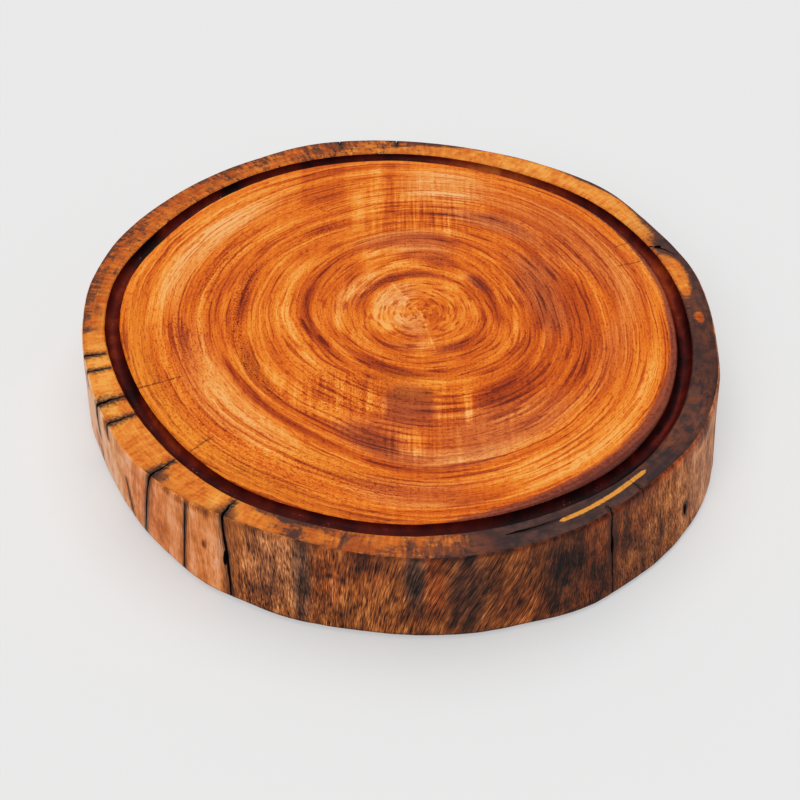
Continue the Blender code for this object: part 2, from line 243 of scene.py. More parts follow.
# Lamps: the tilt from straight down and the turn round Z, in degrees, then the angle that the
# light seems to come from. The floor reaches this far from the middle in metres
KEY_LIGHT = (-18.0, -4.0, 60.0)
FRONT_LIGHT = (47.0, -22.0, 36.0)
FLOOR_REACH = 6.0


def closed_curve(values, turns):
    """Catmull-Rom curve through values spaced equally round the circle, read at the turns."""
    values = np.asarray(values, dtype=float)
    count = len(values)
    place = np.asarray(turns) / FULL_TURN * count
    index = np.floor(place).astype(int)
    t = place - index
    before, here, after, beyond = (values[(index + step) % count] for step in (-1, 0, 1, 2))
    bend = 2.0 * before - 5.0 * here + 4.0 * after - beyond
    twist = 3.0 * (here - after) + beyond - before
    return here + 0.5 * t * (after - before + t * (bend + t * twist))


def bark_radius(turns):
    """Radius of the bark edge at the top face, about the middle of the tree."""
    return SLAB_RADIUS + MM * closed_curve(BARK_SHAPE, turns)


def side_radius(turns, below):
    """Radius of the side at a distance below the top: the flare grows towards the foot,
    with a few broad flutes that wander slowly round the trunk."""
    share = below / SLAB_THICKNESS
    flare = MM * closed_curve(SIDE_FLARE, turns) * np.abs(share) ** FLARE_POWER
    flutes = sum(
        part * np.sin(count * turns + phase + drift * share) for part, count, phase, drift in FLUTES
    )
    growth = FLUTE_TOP_SHARE + (1.0 - FLUTE_TOP_SHARE) * share
    return bark_radius(turns) + flare + FLUTE_DEPTH * flutes * growth


def groove_radius(turns):
    """Radius of the middle of the juice groove."""
    rim = RIM_WIDTH + MM * closed_curve(RIM_SHAPE, turns)
    return bark_radius(turns) - rim - 0.5 * GROOVE_WIDTH


def tree_middle():
    """The middle of the tree in the frame: the slab's box is centred on the frame's origin.
    The box is that of the frame's own facets, so that both slabs lie in one place."""
    turns = np.arange(FRAME_FACETS) * FULL_TURN / FRAME_FACETS
    lows = []
    highs = []
    for below in (*np.linspace(SLAB_THICKNESS - BASE_ARRIS, 0.0, 9), SLAB_THICKNESS):
        radius = side_radius(turns, np.full(FRAME_FACETS, below))
        if below == SLAB_THICKNESS:
            radius = radius - BASE_ARRIS
        plan = np.stack([radius * np.cos(turns), radius * np.sin(turns)])
        lows.append(plan.min(axis=1))
        highs.append(plan.max(axis=1))
    return -0.5 * (np.min(lows, axis=0) + np.max(highs, axis=0))


TREE = tree_middle()
PITH = tuple(TREE / MM + PITH_FROM_TREE)


def smooth_noise(turns, heights, across, up, seed):
    """Smooth random values from -1 to 1 over a cylinder: random numbers on a lattice of
    across cells round and up cells along heights of 0 to 1, joined by smooth steps."""
    lattice = np.random.default_rng(seed).uniform(-1.0, 1.0, (across, up + 1))
    u = np.asarray(turns) / FULL_TURN * across
    v = np.clip(heights, 0.0, 0.99999) * up
    i = np.floor(u).astype(int)
    j = np.floor(v).astype(int)
    fu = (u - i) ** 2 * (3.0 - 2.0 * (u - i))
    fv = (v - j) ** 2 * (3.0 - 2.0 * (v - j))
    low = lattice[i % across, j] * (1.0 - fu) + lattice[(i + 1) % across, j] * fu
    high = lattice[i % across, j + 1] * (1.0 - fu) + lattice[(i + 1) % across, j + 1] * fu
    return low * (1.0 - fv) + high * fv


def side_relief(turns, below):
    """How far the weathered side lies inside the smooth trunk: long grooves, then finer
    torn fibres, each a smooth noise lifted so that it only takes wood away."""
    share = below / SLAB_THICKNESS
    relief = RELIEF_FLOOR
    for part, across, up, slant, seed in RELIEF_LAYERS:
        relief = relief + part * (0.5 + 0.5 * smooth_noise(turns + slant * share, share, across, up, seed))
    return bpy.context.scene.board_sizes.side_relief * relief


def groove_profile():
    """The groove from its outer lip to its inner one, as (across, below the top) pairs: a half
    ellipse between two short worn slopes."""
    half = 0.5 * GROOVE_WIDTH
    turns = np.linspace(0.0, np.pi, GROOVE_ROWS - 1)
    across = half * np.cos(turns)
    down = GROOVE_LIP + (GROOVE_DEPTH - GROOVE_LIP) * np.sin(turns)
    return [(half + GROOVE_LIP, 0.0), *zip(across, down), (-half - GROOVE_LIP, 0.0)]


# Faces of the slab, in the order of its materials
UNDERSIDE, SIDE, RIM, GROOVE, PLATEAU, CRACK, SEAT = range(7)


def ring_points(radius, turns, height, middle=(0.0, 0.0)):
    """Points round an upright axis through middle in plan: radius times cosine, radius times
    sine, height. Radii and heights may be columns, which gives one ring for each."""
    x = middle[0] + radius * np.cos(turns)
    y = middle[1] + radius * np.sin(turns)
    return np.stack(np.broadcast_arrays(x, y, height), axis=-1)


def slab_surface():
    """The slab's rings of points, from the underside out, up the side, in over the rim and
    the groove to its inner lip, with the kind of face above each ring.

    A ring is radius(turn) at a depth below(turn).
    """
    turns = np.arange(COLUMNS) * FULL_TURN / COLUMNS
    arris = MM * closed_curve(TOP_ARRIS, turns)
    level = np.ones(COLUMNS)
    stations = []
    for step in np.linspace(-0.5 * np.pi, 0.0, BASE_ROWS + 1):
        below = (SLAB_THICKNESS - BASE_ARRIS - BASE_ARRIS * np.sin(step)) * level
        inwards = BASE_ARRIS * (1.0 - np.cos(step)) + side_relief(turns, below)
        stations.append((side_radius(turns, below) - inwards, below, SIDE))
    for share in np.linspace(0.0, 1.0, SIDE_ROWS + 1)[1:-1]:
        below = (1.0 - share) * (SLAB_THICKNESS - BASE_ARRIS) + share * arris
        stations.append((side_radius(turns, below) - side_relief(turns, below), below, SIDE))
    for step in np.linspace(0.0, 0.5 * np.pi, ARRIS_ROWS + 1):
        below = arris * (1.0 - np.sin(step))
        relief = side_relief(turns, below) * (1.0 - (1.0 - RELIEF_LEFT_ON_TOP) * step / (0.5 * np.pi))
        inwards = arris * (1.0 - np.cos(step)) + relief
        kind = RIM if step > 0.25 * np.pi else SIDE
        stations.append((side_radius(turns, below) - inwards, below, kind))
    outer = stations[-1][0]
    middle = groove_radius(turns) + GROOVE_WAVER * smooth_noise(turns, 0.0 * turns, 150, 1, 21)
    lip = middle + 0.5 * GROOVE_WIDTH + GROOVE_LIP
    for share in np.linspace(0.0, 1.0, RIM_ROWS + 1)[1:-1]:
        stations.append((outer + (lip - outer) * share, 0.0 * level, RIM))
    for number, (across, down) in enumerate(groove_profile()):
        stations.append((middle + across, down * level, RIM if number == 0 else GROOVE))
    rings = [ring_points(radius, turns, SLAB_TOP - below, TREE) for radius, below, kind in stations]
    kinds = [kind for radius, below, kind in stations]
    kinds[-2:] = [PLATEAU, PLATEAU]
    return np.array(rings), kinds


def mesh_object(name, points, faces, kinds=None):
    """A new object from arrays of points and faces, and the kind of each face where given."""
    mesh = bpy.data.meshes.new(name)
    mesh.from_pydata(np.asarray(points).tolist(), [], faces)
    if kinds is not None:
        mesh.polygons.foreach_set("material_index", np.asarray(kinds, dtype=np.int32))
    mesh.update()
    piece = bpy.data.objects.new(name, mesh)
    bpy.context.scene.collection.objects.link(piece)
    return piece


def grid_faces(rows, columns, closed=False):
    """Quads between rings of points that run anticlockwise seen from outside. With closed,
    the last ring joins the first one."""
    index = np.arange(rows * columns).reshape(rows, columns)
    lower = index if closed else index[:-1]
    upper = np.roll(index, -1, axis=0) if closed else index[1:]
    quads = np.stack([lower, np.roll(lower, -1, axis=1), np.roll(upper, -1, axis=1), upper], axis=-1)
    return quads.reshape(-1, 4)


def thinned_faces(outer, inner):
    """Triangles between a ring of points and one inside it with half as many points."""
    start = outer[0::2]
    between = outer[1::2]
    end = np.roll(start, -1)
    ahead = np.roll(inner, -1)
    three = [(start, between, inner), (between, ahead, inner), (between, end, ahead)]
    return np.concatenate([np.column_stack(corners) for corners in three])


def plateau_surface(lip, first):
    """The plateau within the groove's inner lip: rings drawn in towards the pith by even
    shares, with half the points of the lip, and near the heart with a quarter of them."""
    pith = np.array([PITH[0] * MM, PITH[1] * MM, SLAB_TOP])
    outer = np.arange(first - COLUMNS, first)
    points = []
    faces = []
    for rows, step, shares in (
        (PLATEAU_ROWS, 2, np.linspace(1.0, HEART_SHARE, PLATEAU_ROWS + 1)[1:]),
        (HEART_ROWS, 4, np.linspace(HEART_SHARE, 0.0, HEART_ROWS + 1)[1:-1]),
    ):
        for row, share in enumerate(shares):
            inner = first + np.arange(COLUMNS // step)
            points.append(pith + share * (lip[::step] - pith))
            if row == 0:
                faces += thinned_faces(outer, inner).tolist()
            else:
                quads = [outer, np.roll(outer, -1), np.roll(inner, -1), inner]
                faces += np.column_stack(quads).tolist()
            outer = inner
            first += len(inner)
    points.append(pith[None])
    faces += np.column_stack([outer, np.roll(outer, -1), np.full(len(outer), first)]).tolist()
    return np.concatenate(points), faces


def plain_slab():
    """The slab before its checks and seats are cut."""
    rings, kinds = slab_surface()
    count = len(rings) * COLUMNS
    quads = grid_faces(len(rings), COLUMNS).tolist()
    inner_points, inner_faces = plateau_surface(rings[-1], count)
    under = count + len(inner_points)
    ahead = (np.arange(COLUMNS) + 1) % COLUMNS
    bottom = np.column_stack([np.full(COLUMNS, under), ahead, np.arange(COLUMNS)]).tolist()
    middle = [[TREE[0], TREE[1], SLAB_BASE]]
    points = np.concatenate([rings.reshape(-1, 3), inner_points, middle])
    kinds = np.repeat(kinds[:-1], COLUMNS).tolist() + [PLATEAU] * len(inner_faces) + [UNDERSIDE] * COLUMNS
    return mesh_object("log_slab", points, quads + inner_faces + bottom, kinds)


def plan_point(angle, radius):
    """A point in plan, from an angle in degrees and a radius about the middle of the tree."""
    turn = np.radians(angle)
    return np.array([TREE[0] + radius * np.cos(turn), TREE[1] + radius * np.sin(turn)])


def capped_faces(faces, count, sides):
    """Faces between count rings of points, and one more to fill each end."""
    return [*faces.tolist(), list(range(sides))[::-1], list(range((count - 1) * sides, count * sides))]


def closed_skin(name, rings, kind):
    """A closed cutter from rings of points, its ends filled, in one kind of face."""
    rings = np.asarray(rings, dtype=float)
    count, sides = rings.shape[:2]
    quads = grid_faces(count, sides)
    faces = capped_faces(np.concatenate([quads[:, :3], quads[:, [0, 2, 3]]]), count, sides)
    return mesh_object(name, rings.reshape(-1, 3), faces, [kind] * len(faces))


def crack_cutter(name, path, widths, ends, start, lean, wander, seed):
    """A crack as a solid to take away. At each station of its path in plan, its two walls run
    down from start to that station's end. The half width shrinks with the square of the depth
    and breathes with a noise, and the middle line wanders sideways with another. A crack that
    starts below the top narrows upwards as well."""
    path = np.asarray(path)
    count = len(path)
    along = np.gradient(path, axis=0)
    along /= np.linalg.norm(along, axis=1)[:, None]
    square = np.column_stack([-along[:, 1], along[:, 0]])
    share = np.linspace(0.0, 1.0, CRACK_LEVELS)
    rows = np.linspace(0.0, 1.0, count)
    upper = start - (OVERRUN if start == 0.0 else 0.0)
    rings = []
    for row, point, side, width, end in zip(rows, path, square, widths, ends):
        depth = upper + (end - upper) * share
        place = np.full(CRACK_LEVELS, CRACK_NOISE_SHARE * FULL_TURN * row)
        level = np.clip(depth / SLAB_THICKNESS, 0.0, 1.0)
        taper = 1.0 - CRACK_TAPER * share ** 2
        if start > 0.0:
            taper = taper * np.sin(np.pi * np.clip(CRACK_TOP_SHARE + share, 0.0, 0.5)) ** CRACK_TOP_POWER
        half = 0.5 * width * taper * (1.0 + CRACK_BREATH * smooth_noise(place, level, 14, 9, seed))
        shift = -lean * np.maximum(depth - start, 0.0) / SLAB_THICKNESS
        shift = shift + wander * (
            smooth_noise(place, level, 7, 4, seed + 1) + 0.5 * smooth_noise(place, level, 16, 12, seed + 2)
        )
        left = point + side * (shift + half)[:, None]
        right = point + side * (shift - half)[:, None]
        plan = np.concatenate([left[::-1], right])
        height = SLAB_TOP - np.concatenate([depth[::-1], depth])
        rings.append(np.column_stack([plan, height]))
    return closed_skin(name, rings, CRACK)


def check_cutter(number, check):
    """A drying check: it narrows and gets shallower as it runs in from the bark side."""
    bark = bark_radius(np.radians(check.angle))
    reach = check.reach * MM
    outside = (bark + MM * max(SIDE_FLARE) + OVERRUN, bark + 0.5 * OVERRUN)
    radii = np.concatenate([outside, np.linspace(bark, bark - reach, CHECK_STATIONS)])
    run = np.clip((bark - radii) / reach, 0.0, 1.0)
    path = [plan_point(check.angle, radius) for radius in radii]
    widths = check.mouth * MM * (1.0 - run) + CHECK_TIP_WIDTH * run
    tip = check.start * MM + CHECK_TIP_DEPTH
    ends = check.end * MM * (1.0 - run) + tip * run
    return crack_cutter(f"check_{number + 1}", path, widths, ends, check.start * MM,
                        check.lean * MM, CHECK_WANDER, 100 + 5 * number)


def shake_cutter():
    """The split along a growth ring, widest a quarter of the way along."""
    share = np.linspace(0.0, 1.0, SHAKE_STATIONS)
    angles = SHAKE_SPAN[0] + (SHAKE_SPAN[1] - SHAKE_SPAN[0]) * share
    swell = np.maximum(np.sin(np.pi * np.sqrt(share)), SHAKE_END_SHARE)
    path = [plan_point(angle, SLAB_RADIUS - SHAKE_INSET) for angle in angles]
    return crack_cutter("shake", path, SHAKE_WIDTH * swell, SHAKE_DEPTH * swell, 0.0, 0.0,
                        SHAKE_WANDER, 300)


def rim_split_cutter():
    """The slanted split in the rim, read at even steps along its three points."""
    share = np.linspace(0.0, 2.0, RIM_SPLIT_STATIONS)
    angles = np.interp(share, range(3), [angle for angle, inset in RIM_SPLIT])
    insets = np.interp(share, range(3), [inset for angle, inset in RIM_SPLIT])
    widths = np.interp(share, range(3), RIM_SPLIT_WIDTHS)
    path = [
        plan_point(angle, bark_radius(np.radians(angle)) - inset * MM)
        for angle, inset in zip(angles, insets)
    ]
    ends = np.full(RIM_SPLIT_STATIONS, RIM_SPLIT_DEPTH)
    return crack_cutter("rim_split", path, widths, ends, 0.0, 0.0, RIM_SPLIT_WANDER, 310)


def hole_cutter(name, hole, sideways, seed):
    """A borer hole: rings about its axis whose radius wavers and closes to a blunt end."""
    radius = 0.5 * hole.width * MM
    length = hole.length * MM
    turn = np.radians(hole.angle)
    below = hole.below * MM
    turns = np.arange(HOLE_SIDES) * FULL_TURN / HOLE_SIDES
    surface = side_radius(turn, below) if sideways else bark_radius(turn)
    middle = plan_point(hole.angle, surface - hole.inset * MM)
    axis = np.array([np.cos(turn), np.sin(turn), 0.0]) if sideways else np.array([0.0, 0.0, 1.0])
    across = np.array([-np.sin(turn), np.cos(turn), 0.0])
    upright = np.cross(axis, across)
    origin = np.array([middle[0], middle[1], SLAB_TOP - below])
    rings = []
    for share in np.linspace(0.0, 1.0, HOLE_RINGS):
        place = -length + (length + OVERRUN) * share
        waver = 1.0 + HOLE_WAVER * smooth_noise(turns, 0.0 * turns + share, 5, 4, seed)
        size = radius * waver * min(1.0, HOLE_END_SHARE + HOLE_WIDENING * share)
        tall = hole.stretch * size
        ring = (size * np.cos(turns))[:, None] * across + (tall * np.sin(turns))[:, None] * upright
        rings.append(origin + place * axis + ring)
    return closed_skin(name, rings, CRACK)


def foot_middle(number):
    """Plan position of a foot's middle."""
    turn = np.radians(FOOT_FIRST_ANGLE) + FULL_TURN * number / FOOT_COUNT
    return np.array([FOOT_CIRCLE_RADIUS * np.cos(turn), FOOT_CIRCLE_RADIUS * np.sin(turn), 0.0])


def turned_rings(profile):
    """A profile of (radius, height) pairs turned about an upright axis through 0."""
    profile = np.asarray(profile, dtype=float)
    turns = np.arange(TURNED_SIDES) * FULL_TURN / TURNED_SIDES
    return ring_points(profile[:, :1], turns, profile[:, 1:])


def washer_base():
    """Height of the washer's lower face, against the ceiling of the foot's recess."""
    return FOOT_RECESS_DEPTH - TOUCH - WASHER_THICKNESS


def screw_bearing():
    """Height of the face of the screw head that clamps the washer."""
    return washer_base() - TOUCH


def shank_hole_radius():
    """Radius of the holes that the screw's shank passes through."""
    return 0.5 * SCREW_DIAMETER + TOUCH


def seat_cutter(number):
    """The flat-bottomed seat of one foot, with the pilot hole of its screw above it."""
    seat = 0.5 * FOOT_TOP_DIAMETER + SEAT_CLEARANCE
    ceiling = FOOT_HEIGHT + TOUCH
    pilot = shank_hole_radius()
    end = screw_bearing() + SCREW_LENGTH + PILOT_SPARE
    profile = ((seat, SLAB_BASE - OVERRUN), (seat, ceiling), (pilot, ceiling), (pilot, end))
    return closed_skin(f"seat_{number + 1}", turned_rings(profile) + foot_middle(number), SEAT)


def cut_slab(slab):
    """Take all the cutters away from the slab in one step, and keep the result as its mesh.
    All of them are closed, so the quick MANIFOLD solver makes the cuts that EXACT makes."""
    cutters = [seat_cutter(number) for number in range(FOOT_COUNT)]
    cutters += [check_cutter(number, check) for number, check in enumerate(CHECKS)]
    cutters += [shake_cutter(), rim_split_cutter()]
    cutters += [hole_cutter(f"top_hole_{n}", hole, False, 400 + n) for n, hole in enumerate(TOP_HOLES)]
    cutters += [hole_cutter(f"side_hole_{n}", hole, True, 410 + n) for n, hole in enumerate(SIDE_HOLES)]
    group = bpy.data.collections.new("cutters")
    for cutter in cutters:
        for finish in slab.data.materials:
            cutter.data.materials.append(finish)
        group.objects.link(cutter)
    step = slab.modifiers.new("cuts", "BOOLEAN")
    step.operation = "DIFFERENCE"
    step.solver = "MANIFOLD"
    step.operand_type = "COLLECTION"
    step.collection = group
    bpy.context.view_layer.update()
    seen = slab.evaluated_get(bpy.context.evaluated_depsgraph_get())
    mesh = bpy.data.meshes.new_from_object(seen)
    mesh.name = "log_slab"
    slab.modifiers.clear()
    slab.data = mesh
    for cutter in cutters:
        bpy.data.objects.remove(cutter, do_unlink=True)
    bpy.data.collections.remove(group)


def foot_profile():
    """The foot's section as a closed line, from the edge of its recess out over its rounded
    lower edge, up its tapered side, in over its top, down the bore and out over the recess."""
    top = 0.5 * FOOT_TOP_DIAMETER
    base = 0.5 * FOOT_BASE_DIAMETER
    recess = 0.5 * WASHER_DIAMETER + TOUCH
    bore = shank_hole_radius()
    edge = [
        (base - FOOT_EDGE * (1.0 - np.cos(step)), FOOT_EDGE * (1.0 + np.sin(step)))
        for step in np.linspace(-0.5 * np.pi, 0.0, FOOT_EDGE_POINTS)
    ]
    return [
        (recess + FOOT_CHAMFER, 0.0), *edge,
        (top, FOOT_HEIGHT - FOOT_CHAMFER), (top - FOOT_CHAMFER, FOOT_HEIGHT), (bore, FOOT_HEIGHT),
        (bore, FOOT_RECESS_DEPTH), (recess, FOOT_RECESS_DEPTH), (recess, FOOT_CHAMFER),
    ]


def washer_profile():
    """The washer's section as a closed line, with its corners worn."""
    outer = 0.5 * WASHER_DIAMETER
    hole = shank_hole_radius()
    top = WASHER_THICKNESS
    worn = WASHER_EDGE
    return [
        (hole, worn), (hole + worn, 0.0), (outer - worn, 0.0), (outer, worn),
        (outer, top - worn), (outer - worn, top), (hole + worn, top), (hole, top - worn),
    ]


def crown_ring(radius, turns):
    """A ring of the screw head's crown: a flat dome, whose height drops by the cross recess
    where a point lies within an arm of the cross."""
    x = np.abs(radius * np.cos(turns))
    y = np.abs(radius * np.sin(turns))
    along = np.maximum(x, y)
    inside = (np.minimum(x, y) < CROSS_BLADE) & (along < CROSS_REACH)
    sunk = np.where(inside, CROSS_DEPTH * (1.0 - CROSS_FALL * along / CROSS_REACH), 0.0)
    share = 2.0 * radius / SCREW_HEAD_DIAMETER
    dome = CROWN_EDGE_SHARE + (1.0 - CROWN_EDGE_SHARE) * np.sqrt(1.0 - CROWN_DROP * share ** 3)
    return ring_points(radius, turns, sunk - SCREW_HEAD_HEIGHT * dome)


def thread_radius(turns, height):
    """Radius of the screw at a height: a plain shank, then a core with a ridge whose place in
    the pitch follows the height less the turn. It shrinks in a straight line to the point."""
    shank = 0.5 * SCREW_DIAMETER
    core = 0.5 * SCREW_CORE
    phase = (height / SCREW_PITCH - turns / FULL_TURN) % 1.0
    ridge = np.clip(1.0 - THREAD_SHARPNESS * np.abs(phase - 0.5), 0.0, 1.0)
    begun = np.clip((height - SCREW_PLAIN_LENGTH) / THREAD_RUN_IN, 0.0, 1.0)
    point = np.clip((SCREW_LENGTH - height) / SCREW_POINT_LENGTH, SCREW_POINT_SHARE, 1.0)
    return (shank + (shank - core) * (ridge - 1.0) * begun) * point


def screw_rings():
    """A wood screw, head down, about its own axis, from the middle of the crown to the point."""
    turns = np.arange(TURNED_SIDES) * FULL_TURN / TURNED_SIDES
    head = 0.5 * SCREW_HEAD_DIAMETER
    shank = 0.5 * SCREW_DIAMETER
    edge = SCREW_HEAD_EDGE
    shares = np.linspace(CROWN_FIRST_SHARE, 1.0, CROWN_ROWS)
    rings = [crown_ring(share * head, turns) for share in shares]
    for radius, height in ((head, -edge), (head - edge, 0.0), (shank, 0.0), (shank, 3.0 * edge)):
        rings.append(ring_points(radius, turns, height))
    for height in np.linspace(THREAD_START, SCREW_LENGTH, THREAD_ROWS):
        rings.append(ring_points(thread_radius(turns, height), turns, height))
    return np.array(rings)


# A soft-edged patch: the angle and place of its middle, half its extent in degrees and in mm,
# and what it adds. On the top face the angle and place are taken about the pith and the patch
# bends along the growth rings; on the rim the place is the inset from the bark edge; on the
# side it is the depth below the top
Patch = namedtuple("Patch", "angle place spread width amount")


def to_patches(*rows):
    """Patches from rows of their five values."""
    return [Patch(*row) for row in rows]


# How light the end grain is, in broad bands and spots
TOP_TONE = to_patches(
    (300, 8, 40, 4, -0.06), (290, 13, 50, 8, -0.06), (165, 22, 66, 13, 0.17), (55, 27, 46, 6, 0.06),
    (305, 30, 28, 4.5, 0.10), (277, 34, 10, 8, 0.12), (120, 40, 62, 2.8, -0.26), (165, 40, 22, 2, -0.16),
    (88, 40, 26, 3.4, -0.14), (20, 39.5, 30, 1.8, -0.14), (235, 41, 30, 4, -0.14), (302, 41, 20, 3, -0.26),
    (342, 41.5, 26, 2, -0.26), (28, 49, 23, 3.8, -0.30), (38, 50, 12, 3.4, -0.28), (5, 48, 16, 2.2, -0.10),
    (53, 46.5, 4.5, 3.5, 0.18), (73, 55, 13, 7, -0.20), (135, 50, 40, 4.5, 0.12), (150, 50, 20, 2.5, 0.10),
    (140, 61, 45, 5, -0.06), (190, 51, 14, 3, 0.16), (245, 59, 25, 6.5, -0.52), (243, 56, 14, 3, -0.12),
    (205, 69, 24, 4, -0.28), (186, 73, 16, 4, -0.12), (240, 49, 12, 2.5, 0.10), (275, 70, 9, 4.5, 0.22),
    (20, 66, 25, 1.8, -0.12), (14, 85, 32, 18, -0.26), (25, 78, 14, 7, -0.06), (343, 82, 24, 13, -0.15),
    (92, 77, 21, 5.5, -0.16), (78, 79, 7, 3, -0.12), (103, 79, 9, 3, -0.06), (117, 71, 5, 6, 0.12),
    (145, 75, 34, 4, -0.24), (168, 73, 16, 3.5, -0.20), (205, 85, 24, 9, 0.02), (226, 90, 12, 8, 0.04),
    (265.5, 88, 12, 22, -0.08), (306, 92, 19, 10, -0.42), (328, 100, 12, 5, -0.24),
    (300, 85, 14, 2.5, -0.12), (296, 97, 7, 3, -0.10), (338, 88, 14, 3, -0.18), (335, 83, 16, 1.5, 0.10),
    (55, 88, 14, 14, -0.04), (66, 109, 16, 8, -0.22), (88, 109, 13, 4, -0.24), (114, 95, 5, 12, 0.06),
    (123, 111, 10, 5.5, -0.26), (162, 91, 18, 4, 0.16), (136, 94, 9, 6, -0.10), (172, 115, 21, 5, -0.12),
    (160, 117, 7, 2.5, -0.18), (179, 115, 8, 3.5, -0.18), (83, 141, 11, 28, 0.20),
    (130, 122, 12, 3, -0.10), (155, 132, 26, 10, -0.06), (152, 161, 26, 8, 0.26), (165, 146, 14, 4, -0.10),
    (225, 110, 20, 6.5, 0.18), (218, 101.5, 25, 1.8, -0.20), (220, 119, 28, 3.6, -0.22),
    (256, 124, 9, 9, -0.36), (264, 136, 8, 6, -0.22), (270, 148, 16, 4.5, -0.14),
    (267, 126, 4.5, 10, 0.20), (278, 142, 8, 1.6, 0.24), (296, 120, 18, 13, -0.09),
    (223, 130.5, 28, 2.8, -0.44), (187, 135, 10, 12, -0.08), (195, 157, 16, 9, -0.14),
    (225, 145, 24, 10, 0.26), (250, 159, 16, 2.5, -0.20), (200, 173, 22, 4, -0.14),
    (235, 177, 14, 2, -0.14), (270, 168, 15, 14, -0.07), (315, 156, 34, 12, 0.16), (298, 168, 12, 9, 0.10),
    (340, 150, 12, 8, 0.06), (330, 120, 30, 14, -0.08), (35, 122, 38, 30, -0.07),
    (20, 122, 20, 1.5, -0.12), (20, 146, 30, 2, -0.06), (30, 4, 70, 5, -0.09), (240, 10, 55, 14, 0.20),
    (112, 13, 16, 5, 0.11), (158, 13, 14, 6, -0.15), (105, 31, 34, 5, 0.08), (200, 31, 26, 5, 0.15),
    (292, 32, 16, 7, -0.18), (305, 41, 30, 5, -0.12), (0, 49, 12, 5, -0.15), (38, 49, 24, 4, -0.10),
    (112, 49, 28, 5, 0.13), (172, 50, 12, 5, 0.08), (240, 49, 9, 5, -0.09), (112, 58, 20, 6, 0.22),
    (208, 58, 17, 6, -0.22), (310, 58, 50, 8, -0.10), (82, 68, 14, 6, -0.10), (120, 67, 9, 6, 0.10),
    (30, 76, 22, 6, 0.10), (178, 76, 12, 5, 0.11), (315, 76, 24, 8, -0.14), (97, 85, 40, 5.5, -0.12),
    (345, 86, 8, 5, 0.12), (210, 86, 8, 6, 0.09), (8, 99, 16, 11, -0.18), (52, 95, 12, 5, 0.10),
    (180, 94, 10, 5, 0.13), (250, 98, 26, 9, -0.16), (60, 103, 9, 6, 0.10), (90, 107, 9, 9, -0.11),
    (150, 103, 9, 5, 0.16), (278, 103, 14, 5, -0.10), (332, 108, 22, 8, -0.15), (345, 103, 8, 5, -0.10),
    (8, 117, 14, 8, -0.10), (75, 122, 9, 6, 0.27), (105, 121, 8, 5.5, 0.18), (135, 121, 8, 5, -0.12),
    (188, 121, 14, 5, -0.13), (235, 121, 16, 5, -0.10), (270, 122, 8, 5, -0.09), (75, 131, 8, 4, 0.08),
    (135, 130, 9, 5, 0.14), (210, 130, 9, 5, 0.10), (270, 134, 20, 9, -0.13), (308, 133, 18, 10, 0.12),
    (52, 139, 14, 5, 0.08), (160, 141, 48, 9, 0.10), (105, 145, 10, 12, 0.11), (255, 148, 9, 5, 0.18),
    (0, 148, 8, 5, 0.10), (285, 148, 8, 5, 0.10), (158, 157, 14, 4, -0.09), (240, 158, 11, 6, 0.28),
    (200, 157, 16, 4, 0.08), (165, 171, 85, 10, 0.11), (97, 168, 12, 8, 0.08), (150, 176, 10, 6, 0.08),
    (228, 22, 12, 5, -0.15), (352, 53, 9, 6, -0.10), (314, 108, 7, 7, -0.10), (330, 100, 9, 3, 0.12),
    (38, 49.5, 8, 2.5, 0.10), (254, 161, 8, 7, 0.12), (100, 176, 12, 6, 0.10), (285, 22, 8, 5, -0.10),
)

# Where dust from sanding makes it pinker
TOP_PINK = to_patches(
    (14, 84, 32, 20, 0.9), (38, 48, 16, 5, 0.9), (95, 82, 28, 12, 0.8), (64, 109, 18, 10, 0.9),
    (85, 62, 20, 10, 0.6), (265, 90, 11, 16, 0.9), (255, 124, 12, 12, 0.8), (275, 140, 18, 10, 0.8),
    (300, 118, 26, 18, 0.9), (30, 128, 42, 30, 0.6), (268, 168, 16, 15, 0.6), (212, 146, 34, 16, 0.5),
    (152, 160, 28, 10, 0.6), (150, 50, 40, 8, 0.5), (130, 22, 50, 12, 0.7), (255, 30, 30, 12, 0.6),
    (120, 40, 60, 4, 0.4), (83, 140, 14, 28, 0.6), (300, 41, 20, 5, 0.5), (340, 125, 20, 14, 0.4),
    (50, 27, 30, 5, -0.8), (155, 95, 24, 6, -0.8), (325, 97, 18, 8, -0.7), (315, 158, 34, 12, -0.8),
    (200, 90, 26, 12, -0.8), (225, 178, 60, 8, -0.6), (35, 16, 50, 16, -0.8), (30, 28, 40, 7, -0.6),
    (235, 27, 26, 6, -0.8), (8, 105, 18, 18, -0.8), (325, 108, 30, 12, -0.4), (155, 120, 40, 14, -0.4),
    (240, 10, 55, 14, 0.8),
)

# Where it is more golden
TOP_GOLD = to_patches(
    (218, 183, 44, 10, 0.8), (264, 70, 18, 12, 0.5), (248, 152, 12, 8, 0.5), (208, 118, 12, 7, 0.4),
)

# Where fine lines along Y show, torn across the grain by the planer
TOP_RAYS = to_patches(
    (89, 99, 19, 18, 1), (88, 130, 18, 26, 0.6), (240, 90, 15, 14, 1), (267, 126, 8, 13, 0.9),
    (282, 97, 8, 17, 0.8), (225, 111, 18, 7, 0.5),
)

# Where open pores show as dark dots
TOP_PORES = to_patches(
    (172, 116, 22, 5, 1), (240, 90, 18, 16, 0.5), (190, 150, 14, 12, 0.3), (120, 39, 50, 4, 0.6),
    (210, 120, 28, 4, 0.6), (255, 158, 20, 10, 0.3), (124, 109, 12, 5, 0.6), (225, 170, 40, 14, 0.3),
    (160, 140, 20, 8, 0.4),
)

